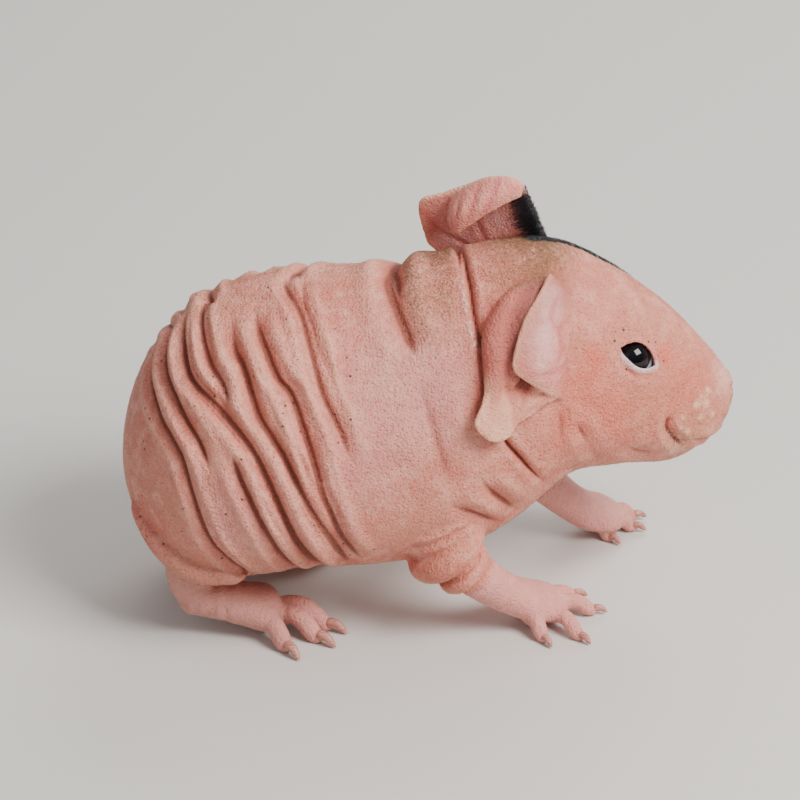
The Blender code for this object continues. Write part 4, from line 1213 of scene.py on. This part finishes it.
def mark_regions(mesh, trees, pressed, crease_shade):
    """Keeps, on the skin's points, where its creases, ears, feet, rims, lids and patches lie."""
    places = places_of(mesh)
    from_trunk, from_ears, from_limbs = (distances(tree, places) for tree in trees)
    off = ease((from_trunk / MM - 1.0) / 1.2)
    ear = off * (from_ears < from_limbs)
    limb = off * (from_ears >= from_limbs)
    x, degrees = chart_of(places)
    patch = wobble(places, 6 * MM) * 2.5 + wobble(places, 2 * MM) * 1.5
    edge = 1.5 + np.clip(x - 20, 0, None) * 0.45
    dark_head = ease((degrees + patch - edge) / 3) * ease((62 - degrees + patch) / 12)
    dark_head *= ease((x - 20.5 + patch) / 3) * ease((42 - x + patch) / 5) * (1 - limb)
    flap, lobe, leaf, fold = ear_nets()
    t = np.linspace(0.0, 1.0, 14)
    over_fold = net_places(fold, *(grid.ravel() for grid in np.meshgrid(t, t)))
    dark_ear = near_curve(places, through(leaf[0]), 5.4 * MM) * (1 + 0.1 * patch) * (degrees > 0)
    dark_ear = ease((dark_ear - 0.28) / 0.6) * (1 - ease(near_curve(places, over_fold, 1.1 * MM) * 2))
    off_root = ease((places[:, 2] / MM - 73.0 - (24.5 - x) * 0.9 + patch * 0.5) / 5)

    def near(points, reach):
        return near_curve(places, points, reach * MM)

    dome = near(through(off_trunk(*np.array(RIGHT_DOME)[:, :3].T, -1)), 5.0)
    roll = near(through(off_trunk(*np.array(RIGHT_ROLL)[3:8, :3].T, -1)), 4.0)
    down = np.linspace(0.2, 0.7, 12)
    # The middle of the right ear's flap, where a sheen is painted, and the shaded inside of the left ear,
    # where light is painted
    flap_sheen = 0.8 * near(net_places(flap, down, 0.68 + 0 * down), 3.2)
    leaf_painted_light = near(net_places(leaf, down, 0.5 + 0 * down), 5.0)
    over_lobe = net_places(lobe, *(grid.ravel() for grid in np.meshgrid(0.25 + 0.75 * t, t * 0.8)))
    edges = [lid_line(side, LID_EDGE) for side in (-1, 1)]
    lids = [0.5 * near(edge, 0.6) for edge in edges] + [near(edge[60:], 1.25) for edge in edges]
    flakes = [near(through(on_trunk(*FLAKES.T, side)), 0.6) for side in (-1, 1)]
    brow = ease((x - 26) / 6) * ease((50 - x) / 8) * ease((45 - np.abs(degrees)) / 20)
    from_spine = np.abs(degrees + 2)
    tan = ease((x - 8) / 15) * ease((32 - x) / 9) * ease((38 - from_spine) / 24)
    tan += 0.4 * ease((x + 7) / 6) * ease((6.5 - x) / 2) * ease((52 - from_spine) / 30)
    masks = {
        "dark": np.maximum(dark_head * (1 - ear), dark_ear * ease(from_trunk / MM) * off_root),
        # Folds: how deep each presses, where a redder tint with painted shade goes, and their very bottoms,
        # where a dark shade is painted
        "crease": pressed / (DEEP * MM),
        "line": crease_shade,
        "bank": -pressed / (0.5 * MM),
        # The raised banks of the folds, where a highlight is painted
        "ear": ear,
        "limb": limb,
        # Low on the hind legs, where shade and dirt are painted
        "hind": ease((-18 - places[:, 0] / MM) / 12) * ease((30 - places[:, 2] / MM) / 14),
        "rim": near(net_edges(), 0.9) * ear,
        "vein": near(np.vstack(ear_lines()), 0.75) * (0.5 + 0.5 * ear),
        # The bottom of the right ear's cup, where shade is painted
        "cup": near(through(off_trunk(*CUP.T, -1)), 1.5),
        "dome": ease(np.maximum(dome, roll) * 1.5),
        # The right flap's painted sheen, and painted light on the shaded inside of the left ear
        "flap": np.maximum(flap_sheen, leaf_painted_light * ear),
        "lobe": near(over_lobe, 1.6) * ear,
        "lid": np.max(lids, axis=0),
        "mole": np.max([near(edge, 3.2) for edge in edges], axis=0),
        "flush": patches(places, FLUSH) * (1 - ear),
        "cream": patches(places, CREAM),
        "pad": patches(places, PAD),
        "bristle": patches(places, BRISTLES) + 0.05 * brow,
        "nose": patches(places, NOSE),
        "tan": tan * (1 - ear) * (0.75 + 0.25 * np.clip(patch, -1, 1)),
        # Where cool light is painted, behind the shoulder and low on the flank
        "lilac": patches(places, PAINTED_COOL_LIGHT) * (1 - ear),
        "freckle": ease((-4 - x) / 22) * (1 - off),
        "flake": np.maximum(*flakes),
    }
    for name, values in masks.items():
        keep_mask(mesh, name, values)


class PUP_OT_skin(bpy.types.Operator):
    """Make the skin, as one closed surface"""

    bl_idname = "pup.skin"
    bl_label = "Skin"

    def execute(self, context):
        settings = context.scene.pup_skin
        kinds = (("trunk", trunk_forms), ("ears", ear_forms), ("limbs", limb_forms))
        groups = [joined(name, forms()) for name, forms in kinds]
        trees = [tree_of(group) for group in groups]
        skin = joined("skin", groups)
        remesh = skin.modifiers.new("even", "REMESH")
        remesh.mode = "VOXEL"
        remesh.voxel_size = settings.net
        soften = skin.modifiers.new("soften", "SMOOTH")
        soften.factor = 0.5
        soften.iterations = 6
        apply_modifiers(skin)
        for place, _, radius, _ in SLEEVE_CREASES[:2]:
            soften_round(skin, place, radius + 1.5, 14)
        shape_face(skin.data)
        wrap_eyes(skin.data)
        open_eyes(skin)
        mesh = skin.data
        places = places_of(mesh)
        normals = normals_of(mesh)
        on_body = ease((1.8 * MM - distances(trees[0], places)) / (1.0 * MM))
        pressed, crease_shade = folds_of(places, normals, settings.fold_depth)
        pressed *= on_body
        crease_shade *= on_body
        pressed += sleeve_creases(places, normals) * on_body
        pressed += limb_wrinkles(places, normals) * (1 - on_body)
        for line in ear_lines():
            swell = np.sin(np.linspace(0, math.pi, len(line))) * 0.3 * MM
            pressed += crease(places, normals, line, swell, 0.5 * MM) * (1 - on_body)
        pressed += lid_folds(places, normals, crease_shade)
        mark_regions(mesh, trees, pressed, crease_shade)
        places -= normals * pressed[:, None]
        places[:, 2] = np.maximum(places[:, 2], 0.1 * MM)
        set_places(mesh, places + frame_shift())
        count = sum(len(face.vertices) - 2 for face in mesh.polygons)
        thin = skin.modifiers.new("thin", "DECIMATE")
        thin.ratio = min(1.0, settings.triangles / count)
        apply_modifiers(skin)
        skin.data.shade_smooth()
        skin.data.materials.clear()
        skin.data.materials.append(skin_material(settings))
        flesh = [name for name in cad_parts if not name.startswith(("eye_", "claw_"))]
        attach(skin, "root")
        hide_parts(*flesh)
        return {"FINISHED"}


class PUP_OT_eyes(bpy.types.Operator):
    """Make the eyeballs, with their clear bulge"""

    bl_idname = "pup.eyes"
    bl_label = "Eyes"

    def execute(self, context):
        settings = context.scene.pup_eyes
        for side, word in ((-1, "right"), (1, "left")):
            bm = unit_ball(48, 64)
            aim = eye_axes(side)[0]
            turn = aim.to_track_quat("Z", "Y")
            for vert in bm.verts:
                rise = settings.cornea * ease((vert.co.z - 0.72) / 0.28)
                vert.co = turn @ (vert.co.normalized() * (EYE_RADIUS * MM + float(rise)))
            bmesh.ops.translate(bm, verts=bm.verts, vec=eye_centre(side) + Vector(frame_shift()))
            eye = new_object(f"eyeball_{word}", bm)
            eye.data.shade_smooth()
            eye.data.materials.append(eye_material(word, settings, side))
            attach(eye, "root")
            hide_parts(f"eye_{word}")
        return {"FINISHED"}


class PUP_OT_claws(bpy.types.Operator):
    """Make the claws of each foot"""

    bl_idname = "pup.claws"
    bl_label = "Claws"

    def execute(self, context):
        material = claw_material(context.scene.pup_claws)
        for foot, toes in TOES.items():
            claws = joined(f"claws_{foot}", [loft("claw", nail, 28, 20) for _, nail in toes_of(foot)])
            set_places(claws.data, places_of(claws.data) + frame_shift())
            claws.data.shade_smooth()
            claws.data.materials.append(material)
            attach(claws, "root")
            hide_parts(*(f"claw_{foot}_{number}" for number in range(1, len(toes) + 1)))
        return {"FINISHED"}


# The coat


def scatter(mesh, density, count, random):
    """Seeded roots on the skin and the way out of it there, more where the density is higher."""
    mesh.calc_loop_triangles()
    corners = np.empty(len(mesh.loop_triangles) * 3, np.int32)
    mesh.loop_triangles.foreach_get("vertices", corners)
    corners = corners.reshape(-1, 3)
    places = places_of(mesh)
    normals = normals_of(mesh)
    a, b, c = (places[corners[:, k]] for k in range(3))
    area = np.linalg.norm(np.cross(b - a, c - a), axis=1) / 2
    weight = area * density[corners].mean(axis=1)
    chosen = random.choice(len(corners), count, p=weight / weight.sum())
    u, v = random.random((2, count))
    over = u + v > 1
    u[over] = 1 - u[over]
    v[over] = 1 - v[over]
    share = np.column_stack((1 - u - v, u, v))
    spots = np.einsum("ij,ijk->ik", share, places[corners[chosen]])
    out = np.einsum("ij,ijk->ik", share, normals[corners[chosen]])
    return spots, out / np.linalg.norm(out, axis=1)[:, None]


def lie_of_coat(spots, out):
    """The way that hair lies: back from the nose and down the sides, along the skin."""
    way = np.tile(np.array((-1.0, 0.0, -0.35)), (len(spots), 1))
    way -= np.einsum("ij,ij->i", way, out)[:, None] * out
    return way / np.maximum(np.linalg.norm(way, axis=1), 1e-6)[:, None]


def grow_tufts(name, spots, out, way, length, width, lift, bent, random):
    """Tapered three-sided tufts that lean along the coat's lie, straight or bent down half way."""
    count = len(spots)
    twist = random.normal(0.0, 0.35, count)
    across = np.cross(out, way)
    way = way * np.cos(twist)[:, None] + across * np.sin(twist)[:, None]
    across = np.cross(out, way)
    length = length * random.uniform(0.6, 1.25, count)
    rise = lift * random.uniform(0.6, 1.4, count)
    middle = spots + (out * np.sin(rise)[:, None] + way * np.cos(rise)[:, None]) * (length * 0.5)[:, None]
    rise = rise * 0.55
    tip = middle + (out * np.sin(rise)[:, None] + way * np.cos(rise)[:, None]) * (length * 0.5)[:, None]
    rings = []
    for centre, thick in ((spots - out * width * 0.5, width), (middle, width * 0.8))[: 1 + bent]:
        for angle in (0.0, math.tau / 3, 2 * math.tau / 3):
            rings.append(centre + (across * math.cos(angle) + out * math.sin(angle)) * thick * 0.5)
    verts = np.stack((*rings, tip), axis=1).reshape(-1, 3)
    if bent:
        faces = ((0, 1, 4, 3), (1, 2, 5, 4), (2, 0, 3, 5), (3, 4, 6), (4, 5, 6), (5, 3, 6))
        patch = ((-1, -1), (1, -1), (0, 1), (-0.5, 0), (0.5, 0), (0, 0.5), (0, 1))
    else:
        faces = ((0, 1, 3), (1, 2, 3), (2, 0, 3))
        patch = ((-1, -1), (1, -1), (0, 1), (0.3, 0.2))
    points = len(patch)
    corners = np.concatenate([np.array(face) for face in faces])
    loops = corners + (np.arange(count) * points)[:, None]
    sizes = np.tile([len(face) for face in faces], count)
    mesh = bpy.data.meshes.new(name)
    mesh.vertices.add(len(verts))
    mesh.vertices.foreach_set("co", verts.astype(np.float32).ravel())
    mesh.loops.add(loops.size)
    mesh.loops.foreach_set("vertex_index", loops.astype(np.int32).ravel())
    mesh.polygons.add(len(sizes))
    mesh.polygons.foreach_set("loop_start", np.concatenate(([0], np.cumsum(sizes)[:-1])).astype(np.int32))
    mesh.update(calc_edges=True)
    x, degrees = chart_of(spots - frame_shift())
    root = np.column_stack(((x - TRUNK[0, 0]) / np.ptp(TRUNK[:, 0]), (degrees + 180) / 360))
    uv = np.clip(root, 0.002, 0.998)[:, None, :] + np.array(patch)[corners] * 0.0015
    layer = mesh.uv_layers.new(name="OFBake")
    layer.data.foreach_set("uv", uv.astype(np.float32).ravel())
    return linked(name, mesh)


class PUP_OT_coat(bpy.types.Operator):
    """Grow the black patch, the tan fuzz of the head and the pale stubble of the body"""

    bl_idname = "pup.coat"
    bl_label = "Coat"

    def execute(self, context):
        settings = context.scene.pup_coat
        mesh = bpy.data.objects["skin"].data
        names = ("dark", "ear", "limb", "lid", "tan", "crease", "bristle")
        dark, ear, limb, lid, tan, creased, bristle = (read_mask(mesh, name) for name in names)
        off_floor = ease((places_of(mesh)[:, 2] / MM - 0.6) / 1.2)
        bare = (1 - lid) * (1 - ease(creased)) * off_floor
        black = ease(dark) * bare
        crown = (tan + 0.02) * (1 - dark) * (1 - limb) * (1 - ear) * bare
        body = (1 - 0.75 * ear) * (1 - 0.6 * limb) * (1 - dark) * bare
        pieces = (
            ("coat_black", black, settings.black_hairs, 1.1, 0.10, 0.5, True, (0.020, 0.019, 0.026)),
            ("coat_tan", crown, settings.tan_hairs, 0.6, 0.055, 0.42, False, (0.46, 0.25, 0.13)),
            ("coat_pale", body, settings.pale_hairs, 0.45, 0.034, 0.42, False, (0.84, 0.58, 0.48)),
            ("coat_white", bristle, settings.white_hairs, 1.1, 0.05, 0.6, True, (0.80, 0.62, 0.48)),
        )
        for number, (name, density, count, length, width, lift, bent, colour) in enumerate(pieces):
            random = np.random.default_rng(11 + number)
            spots, out = scatter(mesh, density, count, random)
            way = lie_of_coat(spots, out)
            coat = grow_tufts(name, spots, out, way, length * MM, width * MM, lift, bent, random)
            coat.data.shade_smooth()
            coat.data.materials.append(hair_material(name, colour))
            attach(coat, "root")
        return {"FINISHED"}


# Materials


class Value:
    """A socket that carries a number, so that maths on sockets reads as plain arithmetic."""

    def __init__(self, finish, socket):
        self.finish = finish
        self.socket = socket

    def __add__(self, other):
        return self.finish.maths("ADD", self, other)

    def __rsub__(self, other):
        return self.finish.maths("SUBTRACT", other, self)

    def __mul__(self, other):
        return self.finish.maths("MULTIPLY", self, other)

    __radd__ = __add__
    __rmul__ = __mul__


class Finish:
    """A material and the nodes that make it."""

    def __init__(self, name):
        self.material = bpy.data.materials.new(name)
        self.material.use_nodes = True
        self.tree = self.material.node_tree
        self.shader = self.tree.nodes["Principled BSDF"]

    def node(self, kind, settings=None, sockets=None, output=0):
        """Adds a node, with its settings first and then the values or links of its sockets."""
        node = self.tree.nodes.new(kind)
        for name, value in (settings or {}).items():
            setattr(node, name, value)
        for name, value in (sockets or {}).items():
            self.feed(node.inputs[name], value)
        return Value(self, node.outputs[output])

    def feed(self, socket, value):
        if isinstance(value, Value):
            self.tree.links.new(value.socket, socket)
        else:
            socket.default_value = value

    def set(self, name, value):
        self.feed(self.shader.inputs[name], value)

    def maths(self, operation, first, second):
        return self.node("ShaderNodeMath", {"operation": operation}, {0: first, 1: second})

    def mask(self, name):
        return self.node("ShaderNodeAttribute", {"attribute_name": name}, output="Fac")

    def spots(self, values, low, high):
        """A smooth step over values from low to high."""
        sockets = {"Value": values, "From Min": low, "From Max": high}
        return self.node("ShaderNodeMapRange", {"interpolation_type": "SMOOTHSTEP"}, sockets)

    def place(self, scale=(1.0, 1.0, 1.0)):
        where = self.node("ShaderNodeTexCoord", output="Object")
        return self.node("ShaderNodeMapping", None, {"Vector": where, "Scale": scale})

    def cloud(self, scale, detail=3.0, where=None):
        sockets = {"Vector": where or self.place(), "Scale": scale, "Detail": detail}
        return self.node("ShaderNodeTexNoise", None, sockets)

    def cells(self, scale):
        """How far a place is from the middle of its cell."""
        return self.node("ShaderNodeTexVoronoi", None, {"Vector": self.place(), "Scale": scale})

    def mix(self, share, first, second):
        """A colour between two, by share."""
        first, second = ((*end, 1.0) if isinstance(end, tuple) else end for end in (first, second))
        node = self.tree.nodes.new("ShaderNodeMix")
        node.data_type = "RGBA"
        for socket, value in ((0, share), (6, first), (7, second)):
            self.feed(node.inputs[socket], value)
        return Value(self, node.outputs[2])

    def relief(self, heights, distance, strength=1.0):
        sockets = {"Height": heights, "Distance": distance, "Strength": strength}
        return self.node("ShaderNodeBump", None, sockets)


def skin_material(settings):
    finish = Finish("bare skin")
    colours = ("peach", "rose", "pale", "cream", "lilac", "tan", "crease", "foot", "dark")
    peach, rose, pale, cream, lilac, tan, creased, foot, dark = (
        tuple(getattr(settings, name)) for name in colours
    )
    mask = finish.mask
    middle = finish.cloud(280.0, 4.0)
    small = finish.cloud(1000.0, 5.0)
    grain = finish.cloud(3000.0, 3.0)
    pores = finish.cells(1500.0)
    blotch = finish.spots(middle, 0.35, 0.65)
    specks = 1 - finish.spots(finish.cells(400.0), 0.08, 0.13)
    strewn = finish.spots(finish.cloud(160.0, 1.0), 0.46, 0.54) * (0.08 + mask("freckle"))
    moles = 1 - finish.spots(finish.cells(620.0), 0.14, 0.22)
    round_eye = finish.spots(finish.cloud(520.0, 1.0), 0.38, 0.44) * mask("mole")
    layers = (
        (finish.spots(finish.cloud(75.0, 3.0), 0.40, 0.60) * 0.65, rose),
        (finish.spots(finish.cloud(130.0, 3.0), 0.50, 0.70) * 0.30, tan),
        (finish.spots(middle, 0.46, 0.68) * 0.5, pale),
        # Painted cool light behind the shoulder and low on the flank
        (mask("lilac") * 0.6, lilac),
        (mask("flush") * (0.6 + blotch * 0.5), FLUSHED),
        # A painted highlight on the raised banks of the folds
        (mask("bank") * 0.45, pale),
        (mask("nose") * 0.7, NOSE_PINK),
        (mask("pad") * (0.45 + finish.spots(small, 0.40, 0.62) * 0.35), PAD_BROWN),
        (finish.spots(small, 0.50, 0.70) * 0.40, rose),
        (finish.spots(grain, 0.50, 0.68) * 0.55, pale),
        ((1 - finish.spots(grain, 0.30, 0.46)) * 0.40, rose),
        ((1 - finish.spots(pores, 0.10, 0.42)) * 0.45, rose),
        (mask("limb") * 0.65, foot),
        # Painted shade and dirt, darker low on the hind legs
        (mask("hind") * (0.30 + blotch * 0.20), HIND_SHADE_AND_DIRT),
        (mask("ear") * (0.35 + blotch * 0.45), THIN_EAR),
        (mask("dome") * (0.60 + blotch * 0.25), DOME_RED),
        # Pale pink with a painted sheen on the right flap, and painted light inside the left ear
        (mask("flap") * (0.40 + blotch * 0.4), FLAP_PALE_AND_PAINTED_LIGHT),
        (mask("lobe") * (0.65 + blotch * 0.25), cream),
        (mask("rim") * 0.8, cream),
        (finish.spots(grain, 0.48, 0.66) * 0.2, rose),
        (mask("tan") * (0.20 + finish.spots(finish.cloud(2000.0, 2.0), 0.42, 0.56) * 0.55), tan),
        (mask("vein") * 0.7, VEIN_RED),
        # The ear's cup: red, darkened with painted shade
        (mask("cup") * 0.75, CUP_RED_AND_SHADE),
        (finish.spots(mask("lid"), 0.25, 0.75) * 0.85, LID_PALE),
        (finish.spots(mask("cream"), 0.25, 0.85) * 0.7, CREAM_SPOT),
        (mask("flake") * finish.spots(small, 0.44, 0.60) * 0.5, FLAKE),
        # Folds: a redder tint with painted shade over each, and a dark painted shade line at its very
        # bottom
        (finish.spots(mask("crease"), 0.08, 0.80) * 0.6, rose),
        (finish.spots(mask("line"), 0.08, 0.85) * 0.85, creased),
        (mask("dark"), dark),
        (specks * finish.spots(strewn, 0.05, 0.3) * 0.9, SPECK),
        (moles * finish.spots(round_eye, 0.15, 0.4) * 0.9, SPECK),
    )
    colour = peach
    for share, over in layers:
        colour = finish.mix(share, colour, over)
    finish.set("Base Color", colour)
    finish.set("Roughness", 0.44 + small * 0.22 + mask("dark") * 0.1)
    finish.set("Subsurface Weight", 0.12)
    finish.set("Subsurface Radius", (1.0, 0.28, 0.16))
    finish.set("Subsurface Scale", 1.0 * MM)
    finish.set("IOR", 1.4)
    wrinkles = finish.cloud(1.0, 4.0, finish.place((1500.0, 420.0, 420.0)))
    heights = wrinkles * 0.5 + small * 0.4 + grain * 0.5 + finish.spots(pores, 0.0, 0.6) * 0.3
    heights = heights + mask("cream") * 0.8 + mask("flake") * small * 0.5
    finish.set("Normal", finish.relief(heights, 0.5 * MM, 1.0))
    return finish.material


def eye_material(word, settings, side):
    """A near-black eye, with the white showing only in the front corner."""
    finish = Finish(f"eye {word}")
    centre = eye_centre(side) + Vector(frame_shift())
    aim, length, _ = eye_axes(side)
    sight = (aim * math.cos(math.radians(14)) - length * math.sin(math.radians(14))).normalized()
    where = finish.node("ShaderNodeTexCoord", output="Object")
    away = finish.node("ShaderNodeVectorMath", {"operation": "SUBTRACT"}, {0: where, 1: tuple(centre)})
    way = finish.node("ShaderNodeVectorMath", {"operation": "NORMALIZE"}, {0: away})
    facing = finish.node(
        "ShaderNodeVectorMath", {"operation": "DOT_PRODUCT"}, {0: way, 1: tuple(sight)}, "Value"
    )
    white = 1 - finish.spots(facing, 0.56, 0.64)
    pupil = finish.spots(facing, 0.86, 0.92)
    colour = finish.mix(pupil, tuple(settings.iris), (0.002, 0.002, 0.003))
    finish.set("Base Color", finish.mix(white, colour, tuple(settings.white)))
    finish.set("Roughness", 0.05)
    finish.set("IOR", 1.36)
    return finish.material


def claw_material(settings):
    finish = Finish("claw horn")
    streaks = finish.cloud(1.0, 3.0, finish.place((600.0, 2600.0, 2600.0)))
    colour = finish.mix(finish.spots(streaks, 0.35, 0.65), tuple(settings.horn), (0.56, 0.27, 0.22))
    finish.set("Base Color", colour)
    finish.set("Roughness", 0.48)
    finish.set("Subsurface Weight", 0.2)
    finish.set("Subsurface Scale", 0.6 * MM)
    return finish.material


def hair_material(name, colour):
    finish = Finish(name.replace("_", " "))
    paler = tuple(min(1.0, part * 1.6 + 0.01) for part in colour)
    finish.set("Base Color", finish.mix(finish.spots(finish.cloud(900.0, 2.0), 0.4, 0.7), colour, paler))
    finish.set("Roughness", 0.42)
    return finish.material


# The stage

# The camera: how far it looks down, how far it stands, the field it sees there, the place it aims at
# (along, up and back in its own view, in the skin's frame) and its sensor's width in millimetres
CAMERA_RISE = math.radians(28.0)
CAMERA_DISTANCE = 0.75
CAMERA_FIELD = 0.164
CAMERA_AIM = (-5.535 * MM, 41.0 * MM, 19.0 * MM)
SENSOR = 36.0

# The place in metres that all lights face
LIGHTS_AIM = (0.0, 0.0, 0.04)


def room(strength):
    """Soft light from all round, brightest overhead."""
    world = bpy.data.worlds.new("room")
    world.use_nodes = True
    nodes = world.node_tree.nodes
    links = world.node_tree.links
    way = nodes.new("ShaderNodeTexCoord")
    parts = nodes.new("ShaderNodeSeparateXYZ")
    height = nodes.new("ShaderNodeMapRange")
    height.interpolation_type = "SMOOTHSTEP"
    height.inputs["From Min"].default_value = -0.1
    height.inputs["From Max"].default_value = 0.9
    height.inputs["To Min"].default_value = 0.18 * strength
    height.inputs["To Max"].default_value = strength
    links.new(way.outputs["Generated"], parts.inputs["Vector"])
    links.new(parts.outputs["Z"], height.inputs["Value"])
    links.new(height.outputs["Result"], nodes["Background"].inputs["Strength"])
    nodes["Background"].inputs["Color"].default_value = (0.97, 0.98, 1.0, 1.0)
    return world


class PUP_OT_stage(bpy.types.Operator):
    """Make the floor, the lights and the camera"""

    bl_idname = "pup.stage"
    bl_label = "Stage"

    def execute(self, context):
        settings = context.scene.pup_stage
        scene = context.scene
        bm = bmesh.new()
        bmesh.ops.create_grid(bm, x_segments=1, y_segments=1, size=3.0)
        floor = new_object("floor", bm)
        finish = Finish("floor")
        finish.set("Base Color", (*settings.floor, 1.0))
        finish.set("Roughness", 0.8)
        floor.data.materials.append(finish.material)
        scene.world = room(settings.sky)
        lights = (
            ("key", (0.44, -0.36, 0.62), 0.36, settings.key, (1.0, 0.97, 0.93)),
            ("rim", (0.20, 0.60, 0.55), 0.5, settings.key * 0.3, (1.0, 0.96, 0.90)),
            ("fill", (-0.55, -0.60, 0.45), 0.6, settings.key * 0.06, (0.92, 0.95, 1.0)),
        )
        for name, place, size, power, colour in lights:
            light = bpy.data.lights.new(name, "AREA")
            light.energy = power
            light.size = size
            light.color = colour
            lamp = linked(name, light)
            lamp.location = place
            lamp.rotation_euler = (Vector(place) - Vector(LIGHTS_AIM)).to_track_quat("Z", "Y").to_euler()
        camera = linked("camera", bpy.data.cameras.new("camera"))
        up = Vector((0.0, math.sin(CAMERA_RISE), math.cos(CAMERA_RISE)))
        back = Vector((0.0, -math.cos(CAMERA_RISE), math.sin(CAMERA_RISE)))
        aim = Vector((CAMERA_AIM[0], 0.0, 0.0)) + up * CAMERA_AIM[1] + back * CAMERA_AIM[2]
        camera.location = aim + back * CAMERA_DISTANCE + Vector(frame_shift())
        camera.rotation_euler = back.to_track_quat("Z", "Y").to_euler()
        camera.data.sensor_width = SENSOR
        camera.data.lens = SENSOR * CAMERA_DISTANCE / CAMERA_FIELD
        camera.data.clip_start = 0.01
        scene.camera = camera
        return {"FINISHED"}


class PUP_PT_panel(bpy.types.Panel):
    bl_label = "Pup"
    bl_idname = "PUP_PT_panel"
    bl_space_type = "VIEW_3D"
    bl_region_type = "UI"
    bl_category = "Pup"

    def draw(self, context):
        for operator in OPERATORS:
            self.layout.operator(operator.bl_idname)
        for group in (context.scene.pup_skin, context.scene.pup_coat, context.scene.pup_stage):
            for name in group.__annotations__:
                self.layout.prop(group, name)


SETTINGS = {
    "pup_skin": SkinSettings,
    "pup_eyes": EyeSettings,
    "pup_claws": ClawSettings,
    "pup_coat": CoatSettings,
    "pup_stage": StageSettings,
}
OPERATORS = (PUP_OT_skin, PUP_OT_eyes, PUP_OT_claws, PUP_OT_coat, PUP_OT_stage)


def register():
    for name, group in SETTINGS.items():
        bpy.utils.register_class(group)
        setattr(bpy.types.Scene, name, PointerProperty(type=group))
    for item in (*OPERATORS, PUP_PT_panel):
        bpy.utils.register_class(item)


def unregister():
    for item in (PUP_PT_panel, *reversed(OPERATORS)):
        bpy.utils.unregister_class(item)
    for name, group in SETTINGS.items():
        delattr(bpy.types.Scene, name)
        bpy.utils.unregister_class(group)


def main():
    register()
    bpy.ops.pup.skin()
    bpy.ops.pup.eyes()
    bpy.ops.pup.claws()
    bpy.ops.pup.coat()
    bpy.ops.pup.stage()


if __name__ == "__main__":
    main()
